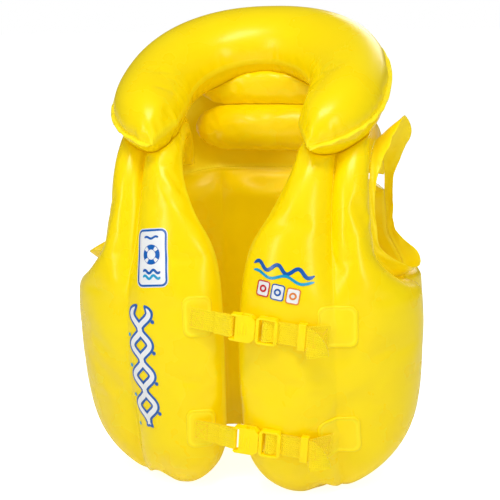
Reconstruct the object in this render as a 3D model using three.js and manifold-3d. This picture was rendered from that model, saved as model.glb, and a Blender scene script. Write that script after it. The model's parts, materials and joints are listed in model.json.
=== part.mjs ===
// Inflatable swim vest for a child: welded PVC film chambers, two webbing closures with
// side-release buckles, and three push-in inflation valves.
// Millimetres, +Z up. The front faces -Y and the wearer's left is +X. The origin is the middle
// of the bounding box at floor level: the inflated vest stands on the lower ends of its lobes.
import * as THREE from "three";
import { mergeVertices } from "three/addons/utils/BufferGeometryUtils.js";
import Module from "manifold-3d";

const wasm = await Module();
wasm.setup();

// ---------------------------------------------------------------- driving dimensions
const BODY_HALF_WIDTH = 147; // mid-surface of the trunk, side to side, at the waist
const TRUNK_HEIGHT = 230; // floor to the level where the shoulders start to curve over
const SHOULDER_RISE = 108; // from that level to the mid-surface of the shoulder ridge
const FRONT_DEPTH = 90; // centre to the front mid-surface
const BACK_DEPTH = 84; // centre to the back mid-surface
const PLAN_POWER = 2.3; // squareness of the trunk's plan: 2 is an ellipse
const FRONT_GAP = 20; // between the two front panels
const LOBE_CREASE_X = 89; // the crease between a front panel's two lobes
const FRONT_BULGE = { out: 32, in: 20 }; // a front lobe's swell, outward and towards the body
const SHOULDER_BULGE = { out: 18, in: 15 };
const BACK_BULGE = { out: 30, in: 20 };
const BACK_CREASE_X = 52; // creases between the back's three lobes
const ARMPIT_HEIGHT = 183;
const ARM_EDGE_X = 121; // outer edge of a shoulder strap
const NECK_HALF_WIDTH = 57; // half the neck opening, which the collar and shoulders share
const HEM_NOTCH = 15; // height of the crease's foot above the floor
const HEM_SIDE = 66; // height of the hem at the side seam
const FOOT_FLAT = 4; // how far the inflated ends are pressed flat by the floor
const FILM = 1; // thickness of a weld, patch or flange
const CLEARANCE = 0.3; // between neighbouring pieces
const SHOULDER_TOP = TRUNK_HEIGHT + SHOULDER_RISE; // what sits round the neck is placed from here

const COLLAR = {
  outerHalfWidth: 129,
  back: 138, // centre of the neck opening to the outer edge at the back
  front: 88, // and to the ends
  holeBack: 60,
  halfThickness: 33,
  tilt: 25, // degrees, back up
  tip: 36, // width of each blunt end, front to back
  fullness: 8, // how far the full thickness reaches towards the ends
  height: SHOULDER_TOP + 30, // of the centre of the neck opening
  forward: -2,
  weldRim: 4,
};

const NECK_ROLL = { halfLength: 74, halfHeight: 23, halfDepth: 19, y: BACK_DEPTH - 22, z: SHOULDER_TOP - 11 };
const NECK_WEB = { halfLength: 70, halfHeight: 20, halfDepth: 10, y: BACK_DEPTH - 19, z: COLLAR.height }; // up to the collar
// The flat film behind the roll, from the back chamber's top edge up to the collar.
const NECK_PANEL = {
  foot: 0.38,
  waist: [98, BACK_DEPTH + 4, SHOULDER_TOP - 32],
  top: [104, BACK_DEPTH + 1, COLLAR.height + 10],
};

// Widths of the flat film round each armhole, and how steeply it stands up over the shoulder. On
// the wearer's right it lies down along the arm.
const FLANGE = {
  left: { front: 10, ridge: 37, back: 9, armpit: 20, rise: 1.25 },
  right: { front: 6, ridge: 6, back: 6, armpit: 24, rise: 0.4 },
};

const WEBBING = { width: 20, thickness: 1.6 };
const CLOSURES = [
  { name: "upper", height: 174, tilt: 6 }, // tilt: degrees, down towards the wearer's left
  { name: "lower", height: 67, tilt: 5 },
];
const BUCKLE = { x: 25, width: WEBBING.width + 5, thickness: 9, wall: 1.6, socketLength: 26, plugLength: 20 };
const PATCH = { rightFrom: -38, rightTo: -13, leftCentre: 101, leftWidth: 36, height: 38, corner: 7, leftRise: 7 };
const KEEPER = { x: 45, length: 7, wall: 1.4 };

const VALVE = { bore: 3, stemRadius: 4.8, length: 13, lipRadius: 6.6, capHeight: 2.2, weldRadius: 11 };

const deg = THREE.MathUtils.degToRad;
const mix = THREE.MathUtils.lerp;
const smooth = THREE.MathUtils.smoothstep;

// ---------------------------------------------------------------- finishes
const finish = (color, roughness) => new THREE.MeshStandardMaterial({ color, roughness, metalness: 0 });
const FILM_YELLOW = finish(0xffe000, 0.25);
const WELD_YELLOW = finish(0xffe733, 0.35);
const WEBBING_YELLOW = finish(0xffd800, 0.8);
const BUCKLE_YELLOW = finish(0xffdc14, 0.4);
const VALVE_CLEAR = finish(0xf4f1dc, 0.3);

const vest = new THREE.Group();

function add(name, shape, material, parent = vest) {
  const geometry = shape.isBufferGeometry ? shape : toGeometry(shape);
  const mesh = new THREE.Mesh(geometry, material);
  mesh.name = name;
  parent.add(mesh);
  return mesh;
}

// ---------------------------------------------------------------- solids
function toSolid(geometry) {
  const bare = new THREE.BufferGeometry();
  bare.setAttribute("position", geometry.getAttribute("position"));
  bare.setIndex(geometry.getIndex());
  const merged = mergeVertices(bare, 1e-4);
  return new wasm.Manifold(
    new wasm.Mesh({
      numProp: 3,
      vertProperties: new Float32Array(merged.getAttribute("position").array),
      triVerts: new Uint32Array(merged.getIndex().array),
    }),
  );
}

function toGeometry(solid) {
  const mesh = solid.getMesh();
  const geometry = new THREE.BufferGeometry();
  geometry.setAttribute("position", new THREE.BufferAttribute(new Float32Array(mesh.vertProperties), 3));
  geometry.setIndex(new THREE.BufferAttribute(new Uint32Array(mesh.triVerts), 1));
  return geometry;
}

// A closed shell between two grids of points: `front` is its outer face, `back` its inner one.
// Seen from outside, rows run upward and columns to the right.
function closeGrids(front, back) {
  const rows = front.length;
  const columns = front[0].length;
  const positions = [...front.flat(), ...back.flat()].flatMap((p) => p.toArray());
  const at = (side, r, c) => side * rows * columns + r * columns + c;
  const index = [];
  const quad = (a, b, c, d) => index.push(a, b, c, a, c, d);
  for (let r = 0; r + 1 < rows; r++) {
    for (let c = 0; c + 1 < columns; c++) {
      quad(at(0, r, c), at(0, r, c + 1), at(0, r + 1, c + 1), at(0, r + 1, c));
      quad(at(1, r, c), at(1, r + 1, c), at(1, r + 1, c + 1), at(1, r, c + 1));
    }
    quad(at(1, r, 0), at(0, r, 0), at(0, r + 1, 0), at(1, r + 1, 0));
    const last = columns - 1;
    quad(at(0, r, last), at(1, r, last), at(1, r + 1, last), at(0, r + 1, last));
  }
  const top = rows - 1;
  for (let c = 0; c + 1 < columns; c++) {
    quad(at(1, 0, c), at(1, 0, c + 1), at(0, 0, c + 1), at(0, 0, c));
    quad(at(0, top, c), at(0, top, c + 1), at(1, top, c + 1), at(1, top, c));
  }
  const geometry = new THREE.BufferGeometry();
  geometry.setAttribute("position", new THREE.Float32BufferAttribute(positions, 3));
  geometry.setIndex(index);
  return geometry;
}

// A closed tube through rings of points, each ring running the same way round.
function closeRings(rings) {
  const sides = rings[0].length;
  const positions = rings.flat().flatMap((p) => p.toArray());
  const index = [];
  for (let r = 0; r + 1 < rings.length; r++) {
    for (let k = 0; k < sides; k++) {
      const a = r * sides + k;
      const b = r * sides + ((k + 1) % sides);
      index.push(a, b, b + sides, a, b + sides, a + sides);
    }
  }
  const last = (rings.length - 1) * sides;
  for (let k = 1; k + 1 < sides; k++) {
    index.push(0, k + 1, k);
    index.push(last, last + k, last + k + 1);
  }
  const geometry = new THREE.BufferGeometry();
  geometry.setAttribute("position", new THREE.Float32BufferAttribute(positions, 3));
  geometry.setIndex(index);
  return geometry;
}

// The same tube with its last ring joined to its first.
function closeLoop(rings) {
  const sides = rings[0].length;
  const index = [];
  rings.forEach((_, r) => {
    const next = ((r + 1) % rings.length) * sides;
    for (let k = 0; k < sides; k++) {
      const turn = (k + 1) % sides;
      index.push(r * sides + k, next + k, next + turn, r * sides + k, next + turn, r * sides + turn);
    }
  });
  const geometry = new THREE.BufferGeometry();
  const positions = rings.flat().flatMap((p) => p.toArray());
  geometry.setAttribute("position", new THREE.Float32BufferAttribute(positions, 3));
  geometry.setIndex(index);
  return geometry;
}

// A smooth curve through a few stations [where, value].
function through(...stations) {
  const curve = new THREE.CubicInterpolant(
    stations.map((s) => s[0]),
    stations.map((s) => s[1]),
    1,
  );
  return (where) => curve.evaluate(where)[0];
}

// ---------------------------------------------------------------- trunk mid-surface
const SHOULDER_RADIUS = SHOULDER_RISE + 5; // sets how long a strip over the shoulder is
const SHOULDER_END = deg(145); // how far over the shoulder the front strips reach
const taper = through([0, 0.77], [60, 0.92], [150, 1], [230, 0.985], [350, 0.985]);
const frontTaper = through([0, 0.86], [50, 0.97], [150, 1.02], [230, 0.92], [350, 0.92]);
const backTaper = through([0, 0.93], [100, 1.01], [230, 0.96], [350, 0.96]);
const halfWidth = (z) => BODY_HALF_WIDTH * taper(z);

// The plan is a superellipse. An angle on it is 0 at the centre plane and 90 degrees at the side.
const planAngle = (x, z) => Math.asin(Math.min(1, x / halfWidth(z)) ** (PLAN_POWER / 2));
const planX = (angle, z) => halfWidth(z) * Math.sin(Math.max(0, angle)) ** (2 / PLAN_POWER);
const planShare = (angle) => Math.max(0, Math.cos(angle)) ** (2 / PLAN_POWER);

const ridgeHeight = (x) => TRUNK_HEIGHT + SHOULDER_RISE - 0.2 * Math.max(0, x - NECK_HALF_WIDTH);

// A point of the mid-surface. `run` is the length along the strip from the floor upward, and
// `facing` is -1 on the front and +1 on the back.
function midPoint(run, angle, facing) {
  const level = Math.min(run, TRUNK_HEIGHT);
  const x = planX(angle, level);
  const over = Math.max(0, run - TRUNK_HEIGHT) / SHOULDER_RADIUS;
  const front = (facing < 0) === (Math.cos(over) > 0);
  const depth = (front ? FRONT_DEPTH * frontTaper(level) : BACK_DEPTH * backTaper(level)) * planShare(angle);
  const seam = FILM / 2 + CLEARANCE / 2;
  const y = facing * (seam + depth) * Math.cos(over);
  const z = level + (ridgeHeight(x) - TRUNK_HEIGHT) * Math.sin(over);
  return new THREE.Vector3(x, y, z);
}

function midNormal(run, angle, facing) {
  const step = 0.01;
  const safe = Math.max(step * 2, Math.min(angle, Math.PI / 2 - step * 2));
  const along = midPoint(run + 1, safe, facing).sub(midPoint(run - 1, safe, facing));
  const across = midPoint(run, safe + step, facing).sub(midPoint(run, safe - step, facing));
  return across.cross(along).multiplyScalar(-facing).normalize();
}

// ---------------------------------------------------------------- inflated profiles
// Two welded films swell into a lens: full in the middle, square to the weld at both edges.
const lens = (share) => Math.sqrt(Math.max(0, 1 - (2 * share - 1) ** 2));
const roundedEnd = (distance, length) => lens(Math.min(1, Math.max(0, distance) / length) / 2);

// Swell across lobes whose creases stand at the given shares of the width. `pinch` is 0 where
// the lobes merge into one and 1 where the crease reaches the weld.
function lobes(share, creases, pinch) {
  const edges = [0, ...creases, 1];
  const lobe = Math.min(edges.findLastIndex((edge) => share >= edge), edges.length - 2);
  const own = lens((share - edges[lobe]) / (edges[lobe + 1] - edges[lobe]));
  return Math.sqrt((1 - pinch) * lens(share) ** 2 + pinch * own ** 2);
}

// Shares across a chamber, closer together near its edges and creases.
function spread(creases, steps) {
  const edges = [0, ...creases, 1];
  const shares = [];
  for (let lobe = 0; lobe + 1 < edges.length; lobe++) {
    for (let k = lobe ? 1 : 0; k <= steps; k++) {
      shares.push(mix(edges[lobe], edges[lobe + 1], (1 - Math.cos((Math.PI * k) / steps)) / 2));
    }
  }
  return shares;
}

// Distances along a chamber: closer together at its rounded ends.
function stations(start, end, startRound, endRound, steps, step) {
  const list = [];
  for (let k = 0; k < steps; k++) list.push(start + startRound * (1 - Math.cos((Math.PI * k) / 2 / steps)));
  const from = start + startRound;
  const to = end - endRound;
  const count = Math.ceil((to - from) / step);
  for (let k = 0; k < count; k++) list.push(mix(from, to, k / count));
  for (let k = steps; k >= 0; k--) list.push(end - endRound * (1 - Math.cos((Math.PI * k) / 2 / steps)));
  return list;
}

// ---------------------------------------------------------------- front chambers
const HEM_ROUND = 50;
const YOKE_ROUND = 34;
const INNER_CORNER = 64; // radius of the front panel's lower inner corner
const FRONT_RUN_END = TRUNK_HEIGHT + SHOULDER_RADIUS * SHOULDER_END;

const neckLine = through(
  [0, FRONT_GAP / 2],
  [TRUNK_HEIGHT - 25, FRONT_GAP / 2],
  [TRUNK_HEIGHT + 10, FRONT_GAP / 2 + 8],
  [TRUNK_HEIGHT + 45, NECK_HALF_WIDTH - 20],
  [TRUNK_HEIGHT + 80, NECK_HALF_WIDTH - 7],
  [TRUNK_HEIGHT + 120, NECK_HALF_WIDTH],
  [FRONT_RUN_END, NECK_ROLL.halfLength + 3],
);

function innerEdge(run) {
  const corner = Math.max(0, 1 - run / INNER_CORNER);
  return neckLine(run) + INNER_CORNER * (1 - Math.sqrt(1 - corner ** 2));
}

// The panel's outer edge: the side seam, then the armhole.
const armLine = through(
  [ARMPIT_HEIGHT, 0],
  [ARMPIT_HEIGHT + 20, 0.45],
  [ARMPIT_HEIGHT + 45, 0.88],
  [ARMPIT_HEIGHT + 75, 1],
  [FRONT_RUN_END, 1],
);

function outerAngle(run) {
  const level = Math.min(run, TRUNK_HEIGHT);
  if (run <= ARMPIT_HEIGHT) return Math.PI / 2;
  return planAngle(mix(halfWidth(level), ARM_EDGE_X, armLine(run)), level);
}

// Where a point of the front panel is, from its distance along the strip and its share across.
function frontPlace(run, share) {
  const level = Math.min(run, TRUNK_HEIGHT);
  const inner = planAngle(innerEdge(run), level);
  const outer = outerAngle(run);
  return mix(inner, outer, share);
}

function frontCrease(run) {
  const level = Math.min(run, TRUNK_HEIGHT);
  const inner = planAngle(innerEdge(run), level);
  return (planAngle(LOBE_CREASE_X, level) - inner) / (outerAngle(run) - inner);
}

// The hem stands higher at the crease's foot and rises to the side seam.
function frontHem(share) {
  const crease = frontCrease(0);
  const foot = HEM_NOTCH * Math.exp(-(((share - crease) / 0.12) ** 2));
  const rise = HEM_SIDE * Math.max(0, (share - crease) / (1 - crease)) ** 2;
  return foot + rise - FOOT_FLAT;
}

const frontPinch = through([0, 0.6], [60, 0.7], [120, 0.42], [190, 0.5], [250, 0.9], [360, 0.95], [FRONT_RUN_END, 0.5]);

// The panel's mid-surface and the way that its outer face looks, at a place on it.
function frontMiddle(run, share) {
  const level = run + frontHem(share) * Math.max(0, 1 - run / TRUNK_HEIGHT);
  const angle = frontPlace(run, share);
  return { point: midPoint(level, angle, -1), normal: midNormal(level, angle, -1) };
}

function frontPoint(run, share, face, grow = 0) {
  const ends = roundedEnd(run, HEM_ROUND) * roundedEnd(FRONT_RUN_END - run, YOKE_ROUND);
  const swell = ends * lobes(share, [frontCrease(run)], frontPinch(run));
  const shoulder = smooth(run, TRUNK_HEIGHT - 40, TRUNK_HEIGHT + 55);
  const bulge = mix(FRONT_BULGE[face], SHOULDER_BULGE[face], shoulder);
  const offset = FILM / 2 + grow + bulge * swell;
  const { point, normal } = frontMiddle(run, share);
  return point.addScaledVector(normal, face === "out" ? offset : -offset);
}

const FRONT_RUNS = stations(0, FRONT_RUN_END, HEM_ROUND, YOKE_ROUND, 5, 24);

function frontChamber(grow = 0) {
  const face = (which) =>
    FRONT_RUNS.map((run) => spread([frontCrease(run)], 6).map((share) => frontPoint(run, share, which, grow)));
  return toSolid(closeGrids(face("out"), face("in")));
}

// ---------------------------------------------------------------- back chamber
const BACK_TOP = TRUNK_HEIGHT + SHOULDER_RADIUS * (Math.PI - SHOULDER_END) - 8;
const BACK_ARCH = 14; // the top edge drops this much towards its ends
const BACK_CORNER = 40;
const backPinch = through([0, 0.9], [70, 0.45], [180, 0.35], [BACK_TOP, 0.8]);

function backMiddle(run, share) {
  const across = 2 * share - 1;
  const angle = outerAngle(run) * Math.abs(across);
  const lift = HEM_SIDE * smooth(Math.abs(across), 0.55, 1) - FOOT_FLAT;
  const drop = BACK_ARCH * across ** 2 * smooth(run, TRUNK_HEIGHT - 40, BACK_TOP);
  const level = run + lift * Math.max(0, 1 - run / TRUNK_HEIGHT) - drop;
  const side = new THREE.Vector3(across > 0 ? -1 : 1, 1, 1);
  return { point: midPoint(level, angle, 1).multiply(side), normal: midNormal(level, angle, 1).multiply(side) };
}

function backPoint(run, share, face, grow = 0) {
  const ends = roundedEnd(run, BACK_CORNER) * roundedEnd(BACK_TOP - run, YOKE_ROUND);
  const swell = ends * lobes(share, backCreases(run), backPinch(run));
  const offset = FILM / 2 + grow + BACK_BULGE[face] * swell;
  const { point, normal } = backMiddle(run, share);
  return point.addScaledVector(normal, face === "out" ? offset : -offset);
}

function backCreases(run) {
  const share = planAngle(BACK_CREASE_X, Math.min(run, TRUNK_HEIGHT)) / outerAngle(run) / 2;
  return [0.5 - share, 0.5 + share];
}

const BACK_RUNS = stations(0, BACK_TOP, BACK_CORNER, YOKE_ROUND, 4, 26);

function backChamber(grow = 0) {
  const face = (which) => BACK_RUNS.map((run) => spread(backCreases(run), 6).map((s) => backPoint(run, s, which, grow)));
  return toSolid(closeGrids(face("out"), face("in")));
}

// ---------------------------------------------------------------- collar and neck roll
const COLLAR_REACH = deg(150); // from the middle of the back to each end

// Rises and falls in the collar's own tilted plane: across, towards the back, and square to it.
function collarToVest(x, back, up) {
  const tilt = deg(COLLAR.tilt);
  return new THREE.Vector3(
    x,
    COLLAR.forward + back * Math.cos(tilt) - up * Math.sin(tilt),
    COLLAR.height + back * Math.sin(tilt) + up * Math.cos(tilt),
  );
}

const squared = (value) => Math.sign(value) * Math.abs(value) ** 0.86; // fuller than an ellipse

function collarRing(turn, sides, grow) {
  const angle = turn * COLLAR_REACH;
  const frontAxis = -COLLAR.front / squared(Math.cos(COLLAR_REACH));
  const beyondSide = Math.max(0, Math.abs(angle) - Math.PI / 2) / (COLLAR_REACH - Math.PI / 2);
  const outer = new THREE.Vector2(
    COLLAR.outerHalfWidth * squared(Math.sin(angle)),
    (Math.cos(angle) > 0 ? COLLAR.back : frontAxis) * squared(Math.cos(angle)),
  );
  const hole = Math.sin(Math.sign(angle) * Math.min(Math.abs(angle), Math.PI / 2));
  const inner = new THREE.Vector2(
    NECK_HALF_WIDTH * hole,
    beyondSide > 0 ? -(COLLAR.front - COLLAR.tip) * beyondSide : COLLAR.holeBack * Math.cos(angle),
  );
  const centre = outer.clone().add(inner).multiplyScalar(0.5);
  const reach = outer.clone().sub(inner).multiplyScalar(0.5);
  const halfHeight = COLLAR.halfThickness * Math.sqrt(1 - Math.abs(turn) ** COLLAR.fullness);
  const widen = 1 + grow / reach.length();
  const ring = [];
  for (let k = 0; k < sides; k++) {
    const around = (2 * Math.PI * k) / sides;
    const out = Math.cos(around) * widen;
    const up = (halfHeight + FILM / 2 + grow) * Math.sin(around);
    ring.push(collarToVest(centre.x + reach.x * out, centre.y + reach.y * out, up));
  }
  const rim = (COLLAR.weldRim + grow) / reach.length() + 1;
  const lip = (up) => collarToVest(centre.x + reach.x * rim, centre.y + reach.y * rim, up);
  const root = (up) => collarToVest(centre.x + reach.x * 0.99, centre.y + reach.y * 0.99, up);
  const half = FILM / 2 + grow;
  ring.splice(0, 1, root(-half), lip(-half), lip(half), root(half));
  return ring;
}

function collarChamber(grow = 0) {
  const rings = [];
  const count = 28;
  for (let k = 0; k <= count; k++) {
    const turn = -Math.sin((Math.PI / 2) * (1 - (2 * k) / count));
    rings.push(collarRing(mix((2 * k) / count - 1, turn, 0.6) * 0.995, 14, grow));
  }
  return toSolid(closeRings(rings));
}

function roll({ halfLength, halfHeight, halfDepth, y, z }, grow = 0) {
  const rings = [];
  const steps = 12;
  const sides = 14;
  for (let k = 0; k <= steps; k++) {
    const along = -Math.cos((Math.PI * (k + 0.35)) / (steps + 0.7));
    const size = Math.sqrt(1 - along ** 4) + 0.02;
    const ring = [];
    for (let s = 0; s < sides; s++) {
      const around = (2 * Math.PI * s) / sides;
      const depth = (halfDepth * size + grow) * Math.cos(around);
      const height = (halfHeight * size + grow) * Math.sin(around);
      ring.push(new THREE.Vector3(along * (halfLength + grow), y + depth, z + height));
    }
    rings.push(ring);
  }
  return toSolid(closeRings(rings));
}

// The panel rises from just above the back chamber's top edge, bends round behind the roll and
// ends under the collar.
function neckPanel() {
  const { foot, waist, top } = NECK_PANEL;
  const rows = 9;
  const columns = 13;
  const face = (side) =>
    Array.from({ length: rows }, (_, r) =>
      Array.from({ length: columns }, (_, c) => {
        const across = (2 * c) / (columns - 1) - 1;
        const start = backMiddle(BACK_TOP, 0.5 + foot * across).point.add(new THREE.Vector3(0, 0, FILM));
        const [bend, end] = [waist, top].map(([x, y, z]) => new THREE.Vector3(-x * across, y, z));
        const up = new THREE.QuadraticBezierCurve3(start, bend, end);
        const along = up.getTangent(r / (rows - 1));
        const outward = new THREE.Vector3(0, along.z, -along.y).normalize();
        return up.getPoint(r / (rows - 1)).addScaledVector(outward, (side * FILM) / 2);
      }),
    );
  return toSolid(closeGrids(face(1), face(-1)));
}

// ---------------------------------------------------------------- assembly of the chambers
const mirrored = (solid) => solid.mirror([1, 0, 0]);
const block = (x0, x1, y0, y1, z0, z1) =>
  toSolid(new THREE.BoxGeometry(x1 - x0, y1 - y0, z1 - z0).translate((x0 + x1) / 2, (y0 + y1) / 2, (z0 + z1) / 2));
const floor = block(-400, 400, -400, 400, -100, 0);

const collarRoom = collarChamber(CLEARANCE);
const rollRoom = roll(NECK_ROLL, CLEARANCE);
const webRoom = roll(NECK_WEB, CLEARANCE);
const neckRooms = [collarRoom, rollRoom, webRoom];
const clearOfNeck = (solid) => neckRooms.reduce((left, room) => left.subtract(room), solid);
const frontLeft = clearOfNeck(frontChamber()).subtract(floor);
const frontRight = mirrored(frontLeft);
const backSolid = clearOfNeck(backChamber()).subtract(floor);
const largest = (solid) => solid.decompose().sort((a, b) => b.volume() - a.volume())[0];
const frontRoom = frontChamber(CLEARANCE);
const panelRooms = [frontRoom, mirrored(frontRoom), backChamber(CLEARANCE)];
const neckFilm = largest(panelRooms.reduce((left, room) => left.subtract(room), clearOfNeck(neckPanel())));

// ---------------------------------------------------------------- welded patches
// A patch of film lies on a chamber wherever the outline, a solid bar, passes through its face.
function weldedPatch(outline, chamber, from = CLEARANCE) {
  return largest(outline.intersect(chamber(from + FILM)).subtract(chamber(from)));
}

function roundedBar(x0, x1, z0, z1, corner) {
  const shape = new THREE.Shape();
  const arc = (x, z, start) => shape.absarc(x, z, corner, start, start + Math.PI / 2, false);
  arc(x1 - corner, z0 + corner, -Math.PI / 2);
  arc(x1 - corner, z1 - corner, 0);
  arc(x0 + corner, z1 - corner, Math.PI / 2);
  arc(x0 + corner, z0 + corner, Math.PI);
  const bar = new THREE.ExtrudeGeometry(shape, { depth: 300, bevelEnabled: false, curveSegments: 3 });
  // The bar runs forward from inside the chamber, so that it only meets the outer face.
  return toSolid(bar.rotateX(Math.PI / 2).translate(0, -FRONT_DEPTH + 6, 0));
}

// ---------------------------------------------------------------- closures
// Where webbing's middle runs when it lies on a patch on a front panel: the y of a place on a
// face that stands that far off the panel's own, or 0 in the gap between the panels.
const LAID = FILM + 3 * CLEARANCE + WEBBING.thickness / 2;
const probe = new THREE.Raycaster();
const leftMesh = new THREE.Mesh(toGeometry(frontChamber(LAID)), new THREE.MeshBasicMaterial());
function faceY(x, z) {
  probe.set(new THREE.Vector3(Math.abs(x), -400, z), new THREE.Vector3(0, 1, 0));
  const [hit] = probe.intersectObject(leftMesh);
  return hit ? hit.point.y : 0;
}

// Flat webbing along a line of points in its own plan, standing `WEBBING.width` high.
function webbing(points) {
  const half = WEBBING.thickness / 2;
  const line = points.map(([x, y]) => new THREE.Vector2(x, y));
  const side = (k, sign) => {
    const before = line[Math.max(0, k - 1)];
    const after = line[Math.min(line.length - 1, k + 1)];
    const along = after.clone().sub(before).normalize();
    return line[k].clone().add(new THREE.Vector2(-along.y, along.x).multiplyScalar(sign * half));
  };
  const outline = [...line.map((_, k) => side(k, -1)), ...line.map((_, k) => side(k, 1)).reverse()];
  const strip = new THREE.ExtrudeGeometry(new THREE.Shape(outline), {
    depth: WEBBING.width,
    bevelEnabled: false,
    steps: 1,
  });
  return toSolid(strip.translate(0, 0, -WEBBING.width / 2));
}

// A plate with the given outline, [along the strap, across it], and a range of thickness.
function plate(outline, from, to) {
  const shape = new THREE.Shape(outline.map(([x, z]) => new THREE.Vector2(x, z)));
  const solid = new THREE.ExtrudeGeometry(shape, { depth: to - from, bevelEnabled: false });
  return toSolid(solid.rotateX(Math.PI / 2).translate(0, to, 0));
}

function chamferedPlate(x0, x1, halfWide, cut, from, to) {
  const corner = (x, z, dx, dz) => [
    [x, z - dz * cut],
    [x - dx * cut, z],
  ];
  return plate(
    [
      ...corner(x1, -halfWide, 1, -1),
      ...corner(x0, -halfWide, -1, -1).reverse(),
      ...corner(x0, halfWide, -1, 1),
      ...corner(x1, halfWide, 1, 1).reverse(),
    ],
    from,
    to,
  );
}

const HALF = BUCKLE.width / 2;
const THICK = BUCKLE.thickness / 2;
const MOUTH = 6; // the socket's open end, along the strap from the buckle's middle
const SOCKET_END = MOUTH - BUCKLE.socketLength;
const ROOM = HALF - BUCKLE.wall - 1.4; // half-width inside the socket
const PLUG_FACE = MOUTH + 0.5;
const PLUG_END = PLUG_FACE + BUCKLE.plugLength;
const BAR = 3.2; // length along the strap of each bar that webbing turns round
const BAR_HALF = 1.2; // and half its thickness
const WRAP = BAR_HALF + CLEARANCE + WEBBING.thickness / 2; // middle of webbing that lies on a bar
const SLOT = WEBBING.width / 2 + 0.7; // half-width of the slots that webbing passes through
const TONGUE = { halfWidth: 1.1, halfThickness: 1.8, length: 11 };
const PRONG = { rootX: PLUG_FACE, rootZ: 5.4, length: 12, halfThickness: 2.2 };

function buckleSocket() {
  const body = chamferedPlate(SOCKET_END, MOUTH, HALF, 4, -THICK, THICK);
  const hollow = block(MOUTH - 15.5, MOUTH + 1, -THICK + BUCKLE.wall, THICK - BUCKLE.wall, -ROOM, ROOM);
  const windows = block(MOUTH - 13, MOUTH - 4.6, -THICK + BUCKLE.wall, THICK - BUCKLE.wall, -HALF - 1, HALF + 1);
  const slot = block(SOCKET_END + BAR, SOCKET_END + BAR + 4.6, -THICK - 1, THICK + 1, -SLOT, SLOT);
  const relief = block(SOCKET_END - 1, SOCKET_END + BAR + 1, -THICK - 1, -BAR_HALF, -SLOT, SLOT);
  const under = block(SOCKET_END - 1, SOCKET_END + BAR + 1, BAR_HALF, THICK + 1, -SLOT, SLOT);
  return body.subtract(hollow).subtract(windows).subtract(slot).subtract(relief).subtract(under);
}

const LOAD_Y = 2.2; // the loaded webbing passes below both bars of the plug
const TAIL_Y = LOAD_Y - WEBBING.thickness - CLEARANCE; // and its tail comes out between it and the outer bar
const LADDER = { first: PLUG_FACE + 7.4, gap: 4.8 }; // the bar that the webbing turns round

function bucklePlug() {
  const half = THICK - 0.6;
  const body = chamferedPlate(PLUG_FACE, PLUG_END, HALF, 2.5, -half, half);
  const inner = block(LADDER.first - LADDER.gap, LADDER.first, -THICK, THICK, -SLOT, SLOT);
  const outer = block(LADDER.first + BAR, PLUG_END - BAR, -THICK, THICK, -SLOT, SLOT);
  const over = block(LADDER.first - 0.5, PLUG_END - BAR, -THICK, -BAR_HALF, -SLOT, SLOT);
  const under = block(LADDER.first - 0.5, PLUG_END + 1, BAR_HALF - 0.2, THICK, -SLOT, SLOT);
  const underOuter = block(PLUG_END - BAR - 1, PLUG_END + 1, TAIL_Y - WRAP + BAR_HALF, THICK, -SLOT, SLOT);
  const tongue = block(
    PLUG_FACE - TONGUE.length,
    PLUG_FACE + 1,
    -TONGUE.halfThickness,
    TONGUE.halfThickness,
    -TONGUE.halfWidth,
    TONGUE.halfWidth,
  );
  return body.subtract(inner).subtract(outer).subtract(over).subtract(under).subtract(underOuter).add(tongue);
}

// A springy arm with a catch that stands out through the socket's window.
function buckleProng(sign) {
  const root = PRONG.rootX - CLEARANCE;
  const tip = root - PRONG.length;
  const catchFace = MOUTH - 5;
  const outline = [
    [root, PRONG.rootZ - 1.6],
    [root, PRONG.rootZ + 1.6],
    [catchFace, PRONG.rootZ + 2],
    [catchFace, HALF - 0.7],
    [catchFace - 3.4, HALF - 0.7],
    [tip, ROOM - 1.5],
    [tip, ROOM - 4],
    [tip + 4, PRONG.rootZ - 0.4],
  ];
  const placed = outline.map(([x, z]) => [x, sign * z]);
  return plate(sign > 0 ? placed : placed.reverse(), -PRONG.halfThickness, PRONG.halfThickness);
}

function strapKeeper() {
  const halfWide = WEBBING.width / 2 + 0.7;
  const halfDeep = WEBBING.thickness + 1;
  const { wall, length, x } = KEEPER;
  const outer = block(x, x + length, -halfDeep - wall, halfDeep + wall, -halfWide - wall, halfWide + wall);
  return outer.subtract(block(x - 1, x + length + 1, -halfDeep, halfDeep, -halfWide, halfWide));
}

const UNDER_BUCKLE = [0, 16, 30, 42]; // places along the strap where it has to clear the lobes

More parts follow.
